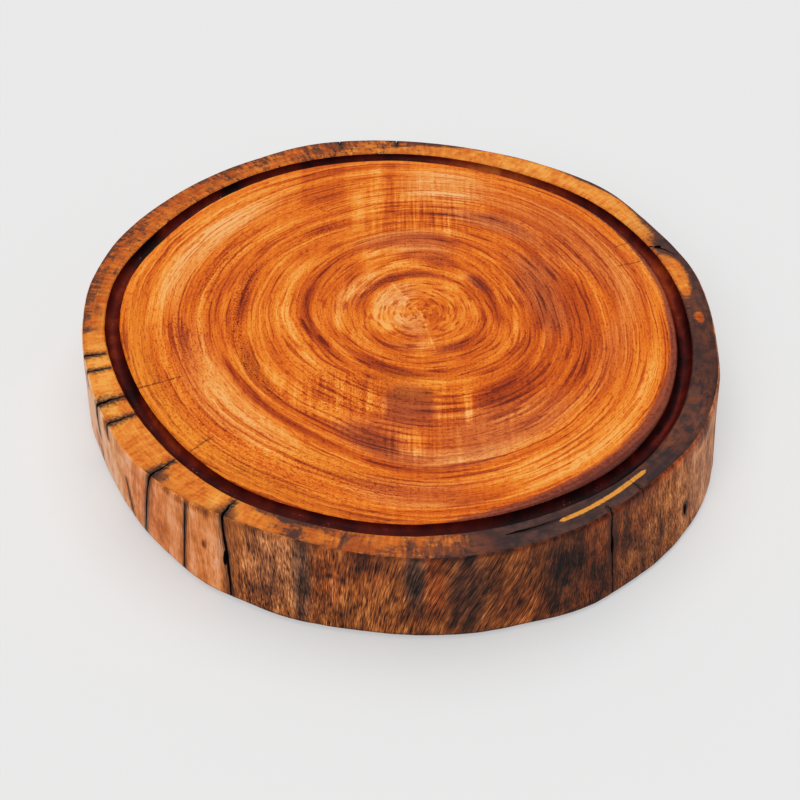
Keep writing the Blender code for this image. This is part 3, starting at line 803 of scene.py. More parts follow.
# Thin lines on rays from the pith: the angle, the two ends and the half width in mm, and how
# strong it is. Hairline cracks are dark, and pencil-thin scratches near the heart pale
Line = namedtuple("Line", "angle inner outer width strength")
HAIRLINES = (
    Line(203.5, 158, 194, 0.7, 0.75), Line(224, 170, 192, 0.7, 0.75),
    Line(28.2, 146, 164, 0.7, 0.75), Line(20.4, 138, 162, 0.7, 0.75),
)
SCRATCHES = (Line(121, -2, 40, 1.1, 0.15), Line(283, -2, 44, 1.0, 0.15), Line(38, 2, 17, 0.8, 0.105))

# The share of its half width over which such a line is full, the width in mm over which a noise
# frays it, and the lengths in mm over which it starts and fades out
LINE_CORE = 0.3
LINE_FRAY = 4.0
LINE_START = 2.0
LINE_FADE = 6.0

# Marks that the planer left along Y, darker or paler than their surroundings: the middle, the
# two ends and the half width in mm about the pith, and what it adds
PlanerMark = namedtuple("PlanerMark", "x low high half amount")
PLANER_MARKS = [PlanerMark(*row) for row in (
    (-66, 113, 180, 15.5, -0.14), (-29, 82, 172, 3.2, 0.12), (-20, 105, 176, 4, -0.14),
    (-41, 86, 140, 4, 0.12), (20, 76, 112, 2.2, 0.16), (12, 84, 118, 1.4, 0.10), (-3, 80, 118, 1.2, 0.10),
    (28, -112, -76, 2.2, 0.24), (12, -112, -84, 2.2, 0.16), (-30, -99, -70, 2.4, 0.18),
    (-22, -100, -84, 1.8, 0.16), (-40, -98, -72, 1.6, 0.10), (-7, -106, -70, 13.5, -0.24),
    (-7, -97, -86, 12.5, -0.12), (22, -150, -112, 1.6, 0.12),
)]

# How soft such a mark is at its long sides and at its ends, in mm
MARK_EDGE = 2.0
MARK_FADE = 9.0

# How far the dark heart stain reaches in from the groove, in mm, every 15 degrees
CRESCENT_WIDTH = (3.2, 2.2, 1.4, 0.6, -1.0, -4.0, -4.0, -4.0, -4.0, -4.0, -4.0, -4.0,
                  -4.0, -4.0, -4.0, -4.0, -4.0, -4.0, -4.0, 2.0, 6.0, 7.5, 6.8, 4.6)

# Resin streak in the rim: its span in degrees, then its inset at both ends and its half width in
# mm, and over which part of the span it tapers at an end, as a number to divide the span by
AMBER_SPAN = (296.8, 316.2)
AMBER_INSETS = (10.8, 9.8)
AMBER_WIDTH = 1.4
AMBER_TAPER = 30.0

# How strongly the rim is stained, every 15 degrees: over 0 it is dark, under 0 clean
RIM_STAIN = (1.5, 1.4, -0.2, -1.1, -1.2, -1.1, -0.5, -0.3, -0.4, -0.5, -0.4, -0.3,
             -0.8, -1.2, -1.3, -1.2, -0.9, -0.5, -0.4, 1.6, 2.2, 2.2, 1.9, 1.7)

# Where the rim is darker or cleaner than that
RIM_DARK = to_patches(
    (15, 12.5, 6.5, 6.5, -2.3), (10, 13.5, 3.5, 3.5, -1.2), (1, 8.8, 1.7, 2.9, -2.6), (12, 2, 22, 5, 0.5),
    (40, 0, 16, 3.2, 1.1), (51, 2, 6, 3, 0.9), (65, 0, 14, 2.4, 0.9), (80, 1, 8, 4, 0.8),
    (225.8, 5, 2.6, 7, 1.5), (241, 4, 2.2, 6, 1.1), (204.3, 6, 1, 9, 0.9), (210, 7, 0.9, 9, 0.8),
    (190.5, 6, 0.7, 8, 0.6), (195, 6, 0.6, 8, 0.5), (85.5, 5, 3, 1.1, 1), (90, 7.6, 3, 1.4, 1.4),
    (93.5, 10.6, 2.2, 1.6, 1), (96, 13.6, 1.4, 2, 0.9), (260, 14, 6, 4, 0.8), (278, 14, 4, 4, -0.5),
    (285.5, 8, 1.8, 12, 0.8), (350, 13, 8, 4, 0.5), (125, 2, 8, 4, 0.7), (181, 2, 4, 4, 0.8),
    (230, 2, 4, 5, 0.6), (279, 3, 6, 5, 0.7), (271, 8, 3, 8, 0.4), (251, 14, 6, 4, 0.5),
    (305, 13.5, 9, 3, 0.5), (50, 2, 5, 3, 0.6), (85, 2, 7, 4, 0.8), (91, 8, 4, 3, 0.5),
    (24, 8, 3.5, 6, 1.2), (30, 1, 8, 5, 0.9), (47, 0, 6, 4, 0.9), (62, 0, 12, 1.5, 0.6),
    (88, 1, 12, 3, 0.7), (104, 7, 6, 14, 0.75), (111, 6, 4, 14, 0.2), (118.5, 6, 1.6, 10, 0.9),
    (125.8, 8, 1.6, 11, 1.1), (132, 6, 1, 10, 0.5), (143, 2, 6, 5, 0.8), (151, 6, 1.5, 8, 0.8),
    (158, 3, 7, 5, 0.6), (172, 3, 8, 7, 0.8), (178, 10, 3, 6, 0.4), (182.8, 6, 1, 10, 0.8),
    (187, 3, 2, 5, 0.3), (252, 8, 3.6, 7, 1), (254, 3, 1.5, 5, 0.9), (250, 15, 8, 2.5, 1),
    (261.5, 6, 0.9, 9, 0.9), (266, 6, 3, 6, 0.5), (272, 9, 1, 7, 0.7), (279, 8, 5, 14, -0.1),
    (292.5, 12.2, 6, 1.9, 2.6), (335, 11, 10, 8, -0.25), (326, 3, 7, 6, 0.6), (343, 11, 5, 6, 0.9),
    (354, 12, 6, 6, -0.1), (341, 5, 7, 4, 1),
)

# How coarsely torn the rim is, every 15 degrees
RIM_ROUGH = (0.3, 0.2, 0.1, 0.1, 0.1, 0.4, 0.7, 1.0, 1.0, 1.0, 1.0, 0.8,
             0.3, 0.0, 0.0, 0.1, 0.2, 0.4, 0.4, 0.0, 0.0, 0.0, 0.0, 0.2)

# Where the rim is rusty
RIM_RED = to_patches(
    (334, 10, 12, 9, 0.7), (356, 6, 8, 8, 0.4), (5, 10, 5, 8, 0.5), (278, 8, 7, 12, 0.9),
    (106, 7, 9, 14, 0.9), (140, 5, 24, 7, 0.7), (172, 4, 8, 6, 0.6), (266, 4, 10, 5, 0.6),
    (322, 14, 8, 4, 0.5), (262, 10, 5, 8, 0.3), (92, 6, 9, 8, 0.7),
)

# How light the rim's own wood is
RIM_TONE = to_patches(
    (50, 8, 24, 12, 0.14), (108, 8, 9, 14, -0.12), (140, 8, 26, 12, -0.20), (172, 8, 8, 10, -0.14),
    (215, 8, 34, 14, -0.02), (262, 8, 8, 12, -0.18), (272, 10, 5, 8, -0.05), (198, 8, 7, 12, 0.25),
    (321, 7, 8, 10, -0.35), (343, 11, 4, 5, -0.30), (285, 8, 2, 12, -0.40), (335, 11, 6, 6, 0.15),
    (33, 9, 5, 8, 0.16), (350, 9, 12, 9, -0.20), (305, 13.5, 9, 3, -0.3), (208, 6, 8, 10, 0.14),
    (190, 8, 6, 10, 0.12), (241, 10, 5, 8, 0.12), (353, 7, 9, 6, -0.35), (341, 5, 7, 4, -0.40),
)

# How light the scorched groove is, from bare scorched wood at 1 to char at 0
# Partly painted light: lighter brown near 14, 65 and 215 degrees where a wall of the groove faces the
# light, and thin painted glints near 332 and 336 degrees
GROOVE_TONE_AND_PAINTED_LIGHT = to_patches(
    (14, 21, 20, 5, 0.46), (65, 20, 18, 5, 0.33), (50, 20, 9, 20, -0.12), (74, 20, 7, 8, 0.18),
    (66, 18, 12, 3, 0.14), (28, 25, 8, 5, -0.25), (5, 18, 8, 3, -0.2), (87, 20, 10, 14, -0.04),
    (105, 20, 7, 14, -0.14), (127.5, 20, 3, 20, -0.3), (117, 21, 6, 8, 0.10), (140, 21, 10, 8, 0.12),
    (154, 20, 5, 20, -0.28), (172, 20, 12, 14, 0.20), (192, 19, 12, 3, 0.20), (201, 23, 7, 8, -0.16),
    (215, 29.4, 22, 2.2, 0.26), (247, 21, 10, 8, 0.10), (272, 20, 14, 10, 0.10), (302, 20, 15, 20, -0.26),
    (315, 16, 8, 6, -0.20), (336, 19, 16, 2.4, 0.10), (352, 21, 16, 8, -0.16), (332, 23, 12, 1.2, 0.20),
    (340, 25.5, 22, 1.8, -0.24),
)

# How light the side is, from char at 0 to bare pale wood at 1, every 15 degrees
# Partly painted light: the side is made lighter round the left, about 180 to 240 degrees, where the light
# falls on it
SIDE_TONE_AND_PAINTED_LIGHT_ROUND = (0.52, 0.48, 0.48, 0.54, 0.50, 0.46, 0.50, 0.56, 0.50, 0.50, 0.56, 0.66,
                   0.80, 0.94, 0.94, 0.86, 0.76, 0.51, 0.45, 0.41, 0.33, 0.42, 0.70, 0.62)

# Where the side is lighter or darker than that
SIDE_TONE = to_patches(
    (226, 40, 2.5, 30, -0.06), (216.3, 48, 1.2, 12, -0.30), (209, 4, 1.2, 7, -0.35),
    (237.2, 28, 0.45, 3.5, -0.40), (247, 30, 5, 40, -0.22), (313, 40, 9, 24, -0.05),
    (238, 35, 3.5, 40, 0.05), (255, 25, 1.9, 40, -0.24), (259.6, 21, 0.7, 2, -0.35),
    (261.8, 23, 0.4, 3, -0.4), (263, 16, 5.5, 14, -0.08), (272.8, 14, 1.5, 20, -0.32),
    (280.5, 30, 2.6, 40, -0.20), (286, 28, 3, 10, -0.10), (289.5, 45, 3.5, 18, 0.06),
    (296.5, 28, 3.4, 30, -0.18), (295, 17, 2.4, 8, -0.10), (302, 30, 2.6, 30, -0.04),
    (305.6, 22, 1, 9, -0.30), (310.5, 45, 5.5, 16, -0.02), (316.5, 36, 0.8, 8, -0.18),
    (321, 30, 4, 30, 0.03), (192, 35, 6, 40, 0.10), (199, 52, 3, 14, -0.34), (207, 22, 2, 30, -0.12),
    (30, 25, 5, 40, -0.20), (75, 30, 3, 30, -0.22), (120, 20, 4, 30, -0.20), (160, 40, 5, 25, -0.18),
    (100, 45, 5, 15, 0.15), (55, 20, 6, 20, 0.12), (305, 0, 44, 2.8, -0.16), (323.4, 42, 0.9, 5, -0.6),
    (216, 20, 4, 40, -0.12), (204, 14, 4, 14, 0.12), (243, 20, 5, 24, 0.10), (318, 16, 5, 24, 0.08),
    (234, 2, 7, 4, -0.25), (330, 5, 4, 6, -0.25), (204, 22, 3, 8, 0.10), (316, 25, 3, 8, 0.12),
)

# Where the side is rusty and grey, and where a pale pink tint stands for painted sheen and highlights
SIDE_RED = to_patches(
    (221, 30, 7, 50, 0.35), (233, 30, 12, 50, 0.4), (300, 1, 30, 3, 0.4), (276, 20, 1.6, 30, 1),
    (259, 20, 3, 25, 0.6), (265, 18, 4, 20, 0.4), (302, 35, 4, 40, 0.6), (316, 2, 20, 5, 0.9),
    (290, 45, 4, 20, 0.4), (310, 20, 5, 14, 0.4), (90, 30, 14, 40, 0.4), (150, 30, 10, 40, 0.4),
)
SIDE_PAINTED_SHEEN = to_patches(
    (199, 42, 12, 24, 0.8), (332, 30, 9, 50, 0.45), (350, 30, 8, 50, 0.6),
)
SIDE_GREY = to_patches(
    (255, 25, 1.6, 40, 0.6), (250, 25, 5, 30, 0.25), (272.8, 15, 1.5, 22, 0.8), (281, 25, 3, 40, 0.25),
    (296.5, 25, 3.4, 30, 0.1), (311, 45, 6, 18, 0.1), (30, 25, 6, 40, 0.5), (120, 20, 5, 30, 0.5),
    (75, 30, 3, 30, 0.4),
)

# The slab's fields that are sums of patches
TOP_PATCHES = {
    "top_tone": TOP_TONE, "top_pink": TOP_PINK, "top_gold": TOP_GOLD, "top_rays": TOP_RAYS,
    "top_pores": TOP_PORES,
}
RIM_PATCHES = {
    "rim_dark": RIM_DARK, "rim_red": RIM_RED, "rim_tone": RIM_TONE, "groove_tone": GROOVE_TONE_AND_PAINTED_LIGHT,
}
SIDE_PATCHES = {
    "side_tone": SIDE_TONE, "side_red": SIDE_RED, "side_pink": SIDE_PAINTED_SHEEN, "side_grey": SIDE_GREY,
}

# Slant of the side's fibres from upright, in degrees, every 15 degrees round. A positive one
# runs anticlockwise on its way down
FIBRE_SLANT = (0, -5, 4, 8, 2, -4, 3, 6, -3, 2, 4, -6,
               -18, -22, -18, -10, 6, 3, -12, -27, -5, -3, 0, 2)

# The stain round a check reaches this far, in mm, and further by the width of the check's mouth
# times a share, which is STAIN_MOUTH at the bark and 1 less at the inner end. A point with no
# check near is NO_CHECK off
STAIN_REACH = 0.8
STAIN_MOUTH = 1.3
NO_CHECK = 99.0

# End grain from burnt summer wood to pale early wood: clear orange, and where the planed face
# is dusty from sanding a pinker one
GRAIN_STOPS = ((0.0, "#701F04"), (0.18, "#983106"), (0.36, "#B7460A"), (0.52, "#D0590D"),
               (0.66, "#E57012"), (0.80, "#F08A28"), (0.92, "#F5A040"), (1.0, "#F8B25E"))
DUSTY_STOPS = ((0.0, "#6A2A18"), (0.18, "#93401F"), (0.36, "#AF5229"), (0.52, "#C56432"),
               (0.66, "#D87A40"), (0.80, "#E6934F"), (0.92, "#EEA566"), (1.0, "#F4BE8C"))

# Sapwood of the rim, scorched wood of the groove and weathered wood of the side, dark to pale
RIM_STOPS = ((0.0, "#80300A"), (0.30, "#B85010"), (0.55, "#D87020"), (0.80, "#EA8C30"), (1.0, "#F4A548"))
GROOVE_STOPS = ((0.0, "#170506"), (0.25, "#3A0A08"), (0.50, "#5C160B"), (0.75, "#86300F"), (1.0, "#AA541C"))
SIDE_STOPS = ((0.0, "#140B09"), (0.20, "#4A2414"), (0.40, "#80401C"), (0.58, "#AC6029"),
              (0.70, "#D27C38"), (0.80, "#E6924E"), (0.90, "#F2AC74"), (1.0, "#F8C49A"))

# Tints of the side, of which the pink one is painted sheen: the field that says where, its share and its
# colour
SIDE_TINTS = (("side_red", 0.6, "#B04A1A"), ("side_pink", 0.6, "#D8A48C"), ("side_grey", 0.5, "#5A4A3E"))

STEEL_NAME = "bright_zinc_plated_steel"
NOISE_ROUGHNESS = 0.6
PITH_PLACE = (PITH[0] * MM, PITH[1] * MM, 0.0)


def turn_gap(turns, angle):
    """Signed difference in degrees between turns in radians and an angle in degrees."""
    return (np.degrees(turns) - angle + 180.0) % 360.0 - 180.0


def patched(patches, turns, places, locate=None):
    """Sum of soft patches, each of which falls off with the fourth power of its own elliptical
    distance. Locate turns a patch's middle into the units of places."""
    result = np.zeros(len(turns))
    for patch in patches:
        middle = locate(patch) if locate else patch.place
        across = (places - middle) / patch.width
        round_way = turn_gap(turns, patch.angle) / patch.spread
        result += patch.amount * np.exp(-(round_way ** 2 + across ** 2) ** 2)
    return result


def planer_marks(plan):
    """Sum of the planer marks at places in mm about the pith: each falls off in a straight line
    over MARK_EDGE at its long sides and over MARK_FADE at its ends."""
    result = np.zeros(len(plan))
    for mark in PLANER_MARKS:
        inside = mark.half + 0.5 * MARK_EDGE - np.abs(plan[:, 0] - mark.x)
        across = np.clip(inside / MARK_EDGE, 0.0, 1.0)
        begun = np.clip((plan[:, 1] - mark.low) / MARK_FADE, 0.0, 1.0)
        ended = np.clip((mark.high - plan[:, 1]) / MARK_FADE, 0.0, 1.0)
        result += mark.amount * across * begun * ended
    return result


def polar(plan):
    """Turns in radians and distances of places in plan."""
    return np.arctan2(plan[:, 1], plan[:, 0]) % FULL_TURN, np.hypot(*plan.T)


def ring_number(turns, radii):
    """The growth ring at polar places about the pith, in mm as it lies towards -X.

    Between the pith, the four shaped rings and the bark it is in proportion along each ray.
    """
    rays = np.linspace(0.0, FULL_TURN, BARK_RAYS)
    outline = np.column_stack([bark_radius(rays) * np.cos(rays), bark_radius(rays) * np.sin(rays)])
    outline += TREE - np.array(PITH) * MM
    bark_turns = np.unwrap(np.arctan2(outline[:, 1], outline[:, 0]))
    bark = np.interp(turns, bark_turns, np.hypot(*outline.T) / MM, period=FULL_TURN)
    shapes = [np.zeros_like(radii), *(closed_curve(shape, turns) for shape in RING_SHAPES), bark]
    labels = [0.0, *(shape[6] for shape in RING_SHAPES), BARK_RING]
    rings = np.zeros_like(radii)
    for inner, outer, low, high in zip(shapes, shapes[1:], labels, labels[1:]):
        share = (radii - inner) / (outer - inner)
        here = share >= 0.0
        rings[here] = low + (high - low) * share[here]
    return rings


def patch_ring(patch):
    """The growth ring on which a patch of the top face has its middle."""
    return float(ring_number(np.radians([patch.angle % 360.0]), np.array([float(patch.place)]))[0])


def check_distance(turns, radius, inset, below):
    """How far each point lies from the nearest drying check, in units of the stain round it. The
    stain is widest at the check's mouth and narrows as the check runs in."""
    nearest = np.full(len(turns), NO_CHECK)
    for check in CHECKS:
        lean = check.lean * np.clip(below - check.start, 0.0, None) * MM / SLAB_THICKNESS
        sideways = np.abs(np.radians(turn_gap(turns, check.angle)) * radius / MM - lean)
        beyond = np.maximum(inset - check.reach, 0.0) + np.maximum(below - check.end, 0.0)
        early = np.maximum(check.start - below, 0.0)
        size = STAIN_REACH + check.mouth * (STAIN_MOUTH - np.clip(inset / check.reach, 0.0, 1.0))
        nearest = np.minimum(nearest, (sideways + beyond + early) / size)
    return nearest


def amber_depth(turns, inset):
    """How far inside the resin streak each point lies, in mm: the streak's half width, which
    tapers at both ends, less the distance from its middle line."""
    start, end = AMBER_SPAN
    share = (0.5 * (end - start) - np.abs(turn_gap(turns, 0.5 * (start + end)))) / (end - start)
    middle = np.interp(np.degrees(turns), AMBER_SPAN, AMBER_INSETS)
    return AMBER_WIDTH * np.minimum(1.0, AMBER_TAPER * share) - np.abs(inset - middle)


def fibre_places(turns, radius, heights):
    """Places in mm in which the side's fibres stand upright: each is turned back about the trunk
    by the slant of its fibre times its height over the middle."""
    slant = np.radians(closed_curve(FIBRE_SLANT, turns))
    upright = turns + np.tan(slant) * (heights - 0.5 * SLAB_THICKNESS) / SLAB_RADIUS
    return np.column_stack([np.cos(upright) * radius, np.sin(upright) * radius, heights]) / MM


def mark_slab(slab):
    """Give the slab's points the fields that its materials read, each worked out from where
    the point lies: rings, insets, stains, tones and the direction of the fibres."""
    mesh = slab.data
    flat = np.empty(3 * len(mesh.vertices))
    mesh.vertices.foreach_get("co", flat)
    place = flat.reshape(-1, 3)
    from_pith = (place[:, :2] - np.array(PITH) * MM) / MM
    ring_turns, ring_radii = polar(from_pith)
    turns, radius = polar(place[:, :2] - TREE)
    below = (SLAB_TOP - place[:, 2]) / MM
    inset = (bark_radius(turns) - radius) / MM
    rings = ring_number(ring_turns, ring_radii)
    lip = groove_radius(turns) - 0.5 * GROOVE_WIDTH - GROOVE_LIP
    fields = {
        "ring": rings,
        "inset": inset,
        "below": below,
        "crescent": closed_curve(CRESCENT_WIDTH, turns) - (lip - radius) / MM,
        "check": check_distance(turns, radius, inset, below),
        "amber": amber_depth(turns, inset),
        "rim_rough": closed_curve(RIM_ROUGH, turns),
    }
    for name, patches in TOP_PATCHES.items():
        fields[name] = patched(patches, ring_turns, rings, patch_ring)
    for name, patches in RIM_PATCHES.items():
        fields[name] = patched(patches, turns, inset)
    for name, patches in SIDE_PATCHES.items():
        fields[name] = patched(patches, turns, below)
    fields["top_tone"] += planer_marks(from_pith)
    fields["rim_dark"] += closed_curve(RIM_STAIN, turns)
    fields["side_tone"] += closed_curve(SIDE_TONE_AND_PAINTED_LIGHT_ROUND, turns)
    for name, values in fields.items():
        mesh.attributes.new(name, "FLOAT", "POINT").data.foreach_set("value", values.astype(np.float32))
    fibre = fibre_places(turns, radius, place[:, 2]).astype(np.float32)
    mesh.attributes.new("fibre", "FLOAT_VECTOR", "POINT").data.foreach_set("vector", fibre.ravel())


def linear(code):
    """Linear colour with alpha from an sRGB hex value such as #E0A060."""
    parts = np.array([int(code[i:i + 2], 16) for i in (1, 3, 5)]) / 255.0
    line = np.where(parts <= 0.04045, parts / 12.92, ((parts + 0.055) / 1.055) ** 2.4)
    return (*line, 1.0)


def add(tree, kind, *values, stops=None, **rest):
    """Add a node, and return what comes out of it first.

    Values go to the node's inputs in their order. A keyword with a capital is the input of that
    name, with underscores for spaces, and any other keyword is a setting of the node. A value is
    a number, a vector, a hex colour or what comes out of another node. Stops are a ramp's.
    """
    made = tree.nodes.new("ShaderNode" + kind)
    for key, value in rest.items():
        if key[0].islower():
            setattr(made, key, value)
    free = [socket for socket in made.inputs if socket.enabled]
    named = {socket.name.replace(" ", "_"): socket for socket in free}
    by_name = [(named[key], value) for key, value in rest.items() if key[0].isupper()]
    for socket, value in [*zip(free, values), *by_name]:
        if isinstance(value, Look):
            tree.links.new(value.socket, socket)
        else:
            socket.default_value = linear(value) if isinstance(value, str) else value
    if stops:
        points = made.color_ramp.elements
        while len(points) < len(stops):
            points.new(0.5)
        for point, (place, colour) in zip(points, stops):
            point.position = place
            point.color = linear(colour)
    return Look(tree, next((socket for socket in made.outputs if socket.enabled), None))


class Look:
    """What comes out of a node at each point of a surface. Adding, subtracting and multiplying
    looks adds the nodes that do so, and look["Name"] is another output of the same node."""

    def __init__(self, tree, socket):
        self.tree = tree
        self.socket = socket

    def __getitem__(self, name):
        return Look(self.tree, self.socket.node.outputs[name])

    def __add__(self, other):
        return add(self.tree, "Math", self, other, operation="ADD")

    def __sub__(self, other):
        return add(self.tree, "Math", self, other, operation="SUBTRACT")

    def __mul__(self, other):
        return add(self.tree, "Math", self, other, operation="MULTIPLY")

    __radd__ = __add__
    __rmul__ = __mul__


def new_finish(name):
    """An empty material, and the function that adds a node to it."""
    made = bpy.data.materials.new(name)
    made.use_nodes = True
    made.node_tree.nodes.clear()
    return made, partial(add, made.node_tree)


def read(node, *names):
    """The slab's fields of these names."""
    return [node("Attribute", attribute_name=name)["Fac"] for name in names]


def swing(noise, amount):
    """A noise of 0 to 1 made to swing about 0 by an amount."""
    return noise * amount - 0.5 * amount


def turned(node, colour, other, value, start, end, most=1.0):
    """Colour that turns into another as a value goes from start to end, in the end by a share
    of most."""
    share = node("MapRange", value, start, end, 0.0, most)
    return node("Mix", share, colour, other, data_type="RGBA")


def object_noise(node, size, detail=3.0, stretch=(1.0, 1.0, 1.0)):
    """Noise in the object's own space, with a grain of size mm, stretched by shares."""
    place = node("Mapping", node("TexCoord")["Object"], Scale=stretch)
    return node("TexNoise", place, Scale=1.0 / (size * MM), Detail=detail, Roughness=NOISE_ROUGHNESS)


def fibre_noise(node, count, slimness, detail=0.0):
    """Noise that runs with the side's fibres: how many of them lie side by side in a mm, and how
    wide each is as a share of its length."""
    fibre = node("Attribute", attribute_name="fibre")["Vector"]
    place = node("Mapping", fibre, Scale=(1.0, 1.0, slimness))
    return node("TexNoise", place, Scale=count, Detail=detail, Roughness=NOISE_ROUGHNESS)


def ring_turn(node):
    """Which way a point lies from the pith, as a unit vector in Y and Z."""
    place = node("SeparateXYZ", node("TexCoord")["Object"])
    flat = node("CombineXYZ", 0.0, place["X"], place["Y"])
    out = node("VectorMath", flat, (0.0, *PITH_PLACE[:2]), operation="SUBTRACT")
    return node("VectorMath", out, operation="NORMALIZE")


def ring_noise(node, rings, turn, period, changes, detail=0.0):
    """Noise that follows the growth rings: period is its grain across them in mm, and changes
    says how often it varies in a radian round the pith."""
    across = node("CombineXYZ", rings * (1.0 / period))
    place = node("VectorMath", turn, (changes,) * 3, across, operation="MULTIPLY_ADD")
    return node("TexNoise", place, Scale=1.0, Detail=detail, Roughness=NOISE_ROUGHNESS)


def line_share(node, line, frets):
    """How much a point lies on a thin ray from the pith, which a noise frays. The line starts
    over LINE_START and fades out over LINE_FADE."""
    turn = np.radians(line.angle)
    place = node("VectorMath", node("TexCoord")["Object"], PITH_PLACE, operation="SUBTRACT")
    ray = (np.cos(turn) / MM, np.sin(turn) / MM, 0.0)
    square = (-np.sin(turn) / MM, np.cos(turn) / MM, 0.0)
    along = node("VectorMath", place, ray, operation="DOT_PRODUCT")
    across = node("VectorMath", place, square, operation="DOT_PRODUCT")
    off = node("Math", across + swing(frets, LINE_FRAY), operation="ABSOLUTE")
    near = node("MapRange", off, LINE_CORE * line.width, line.width, 1.0, 0.0)
    begun = node("MapRange", along, line.inner, line.inner + LINE_START)
    ended = node("MapRange", along, line.outer - LINE_FADE, line.outer, 1.0, 0.0)
    return near * begun * ended


def plateau_finish():
    """Oiled end grain, planed and sanded: growth rings of 1 to 3 mm in broader bands, rays and
    pores. Real pores and sanding grit are 0.1 to 0.3 mm across, too fine to show, so they are
    drawn about 1 mm across."""
    made, node = new_finish("oiled_end_grain")
    rings, tone, pink, gold, crescent = read(node, "ring", "top_tone", "top_pink", "top_gold", "crescent")
    ray_share, pore_share = read(node, "top_rays", "top_pores")
    wobble = object_noise(node, 30.0, 2.0)
    frets = object_noise(node, 2.2)
    grit = object_noise(node, 0.7, 1.0)
    rays = object_noise(node, 2.4, 2.0, (1.0, 0.05, 1.0))
    bent = rings + swing(wobble, 3.0) + swing(frets, 0.6)
    along_rings = partial(ring_noise, node, bent, ring_turn(node))
    broad = along_rings(10.0, 1.1, 1.0)
    middle = along_rings(3.2, 1.6, 1.0)
    fine = along_rings(1.25, 2.2, 1.0)
    hair = along_rings(1.9, 3.0)
    dashes = along_rings(1.0, 34.0)
    pores = along_rings(0.9, 110.0)
    tone += 0.705 + swing(broad, 0.70) + swing(middle, 0.46) + swing(fine, 0.50) + swing(grit, 0.42)
    tone += node("MapRange", hair, 0.30, 0.42, -0.30, 0.0)
    tone += node("MapRange", dashes, 0.60, 0.72, 0.0, -0.20)
    tone += swing(rays, 1.0) * (0.95 * ray_share + 0.24)
    tone -= node("MapRange", pores, 0.56, 0.70) * (0.60 * pore_share + 0.08)
    for scratch in SCRATCHES:
        tone += scratch.strength * line_share(node, scratch, frets)
    clear = node("ValToRGB", tone, stops=GRAIN_STOPS)
    dusty = node("ValToRGB", tone, stops=DUSTY_STOPS)
    colour = turned(node, clear, dusty, pink + swing(broad, 0.8), 0.15, 1.25)
    colour = node("Mix", 0.35 * gold, colour, "#F29A28", data_type="RGBA", blend_type="COLOR")
    cracks = sum(line.strength * line_share(node, line, frets) for line in HAIRLINES)
    colour = node("Mix", cracks, colour, "#4A1C0C", data_type="RGBA")
    ragged = crescent + swing(wobble, 3.0) + swing(frets, 4.0) + swing(fine, 3.0)
    brown = turned(node, "#762F20", "#A24E30", middle + swing(frets, 1.2), 0.34, 0.66)
    heart = turned(node, brown, "#46241F", ragged, 1.5, 8.0, 0.75)
    colour = turned(node, colour, heart, ragged, -0.9, 0.7)
    height = node("Bump", Strength=0.25, Distance=0.0002, Height=middle + fine)
    node("OutputMaterial", node("BsdfPrincipled", Base_Color=colour, Roughness=0.5, Normal=height,
                                Specular_IOR_Level=0.10))
    return made


def rim_finish():
    """Oiled end grain of the outer ring: clean orange sapwood, soot-dark where it weathered."""
    made, node = new_finish("oiled_sapwood_rim")
    rings, tone, stain, red, rough = read(node, "ring", "rim_tone", "rim_dark", "rim_red", "rim_rough")
    inset, check, amber = read(node, "inset", "check", "amber")
    along_rings = partial(ring_noise, node, rings, ring_turn(node))
    fine = along_rings(1.3, 6.0)
    rays = along_rings(9.0, 90.0)
    streaks = along_rings(14.0, 70.0, 3.0)
    cloud = object_noise(node, 9.0, 4.0)
    specks = object_noise(node, 1.8)
    mottle = 0.6 * object_noise(node, 7.0) + 0.4 * along_rings(3.6, 15.0, 1.0)
    clean = tone + 0.66 + swing(fine, 0.28) + swing(rays, 0.40) + swing(cloud, 1.2) + swing(specks, 0.5)
    colour = node("ValToRGB", clean, stops=RIM_STOPS)
    colour = node("Mix", red * node("MapRange", mottle, 0.40, 0.62), colour, "#A0461A", data_type="RGBA")
    dark = stain + node("MapRange", inset, 0.4, 3.4, 0.9, 0.0)
    dark += swing(cloud, 3.0) + swing(specks, 1.6) + swing(mottle, 1.8)
    dark += red * node("MapRange", streaks, 0.42, 0.66, -0.5, 0.8)
    dark += rough * (swing(specks, 2.8) + swing(streaks, 2.8) + swing(mottle, 3.0))
    patchy = cloud + swing(mottle, 0.5) + swing(specks, 0.2) + 0.5 * tone
    soot = turned(node, "#2B2326", "#4E3632", patchy, 0.40, 0.62)
    soot = node("Mix", 0.85 * rough, soot, "#4A2012", data_type="RGBA")
    rusty = (red + 0.15) * node("MapRange", mottle, 0.42, 0.60)
    soot = node("Mix", rusty, soot, "#7A4028", data_type="RGBA")
    soot = turned(node, soot, "#171213", dark, 3.0, 4.2)
    colour = turned(node, colour, "#8C4722", dark, -0.6, 0.5, 0.80)
    colour = turned(node, colour, soot, dark, 0.1, 1.1, 0.96)
    halo = check + swing(specks, 4.5)
    colour = turned(node, colour, "#76401F", halo, 3.4, 0.8, 0.5)
    colour = turned(node, colour, "#2A1E1C", halo, 2.0, 0.3, 0.95)
    resin = turned(node, "#A05A1C", "#E29638", specks, 0.20, 0.46)
    colour = turned(node, colour, resin, amber + swing(specks, 0.8) + swing(mottle, 0.8), -0.25, 0.25)
    height = node("Bump", Strength=0.5, Distance=0.0003, Height=fine + specks)
    node("OutputMaterial", node("BsdfPrincipled", Base_Color=colour, Roughness=0.5, Normal=height,
                                Specular_IOR_Level=0.12))
    return made


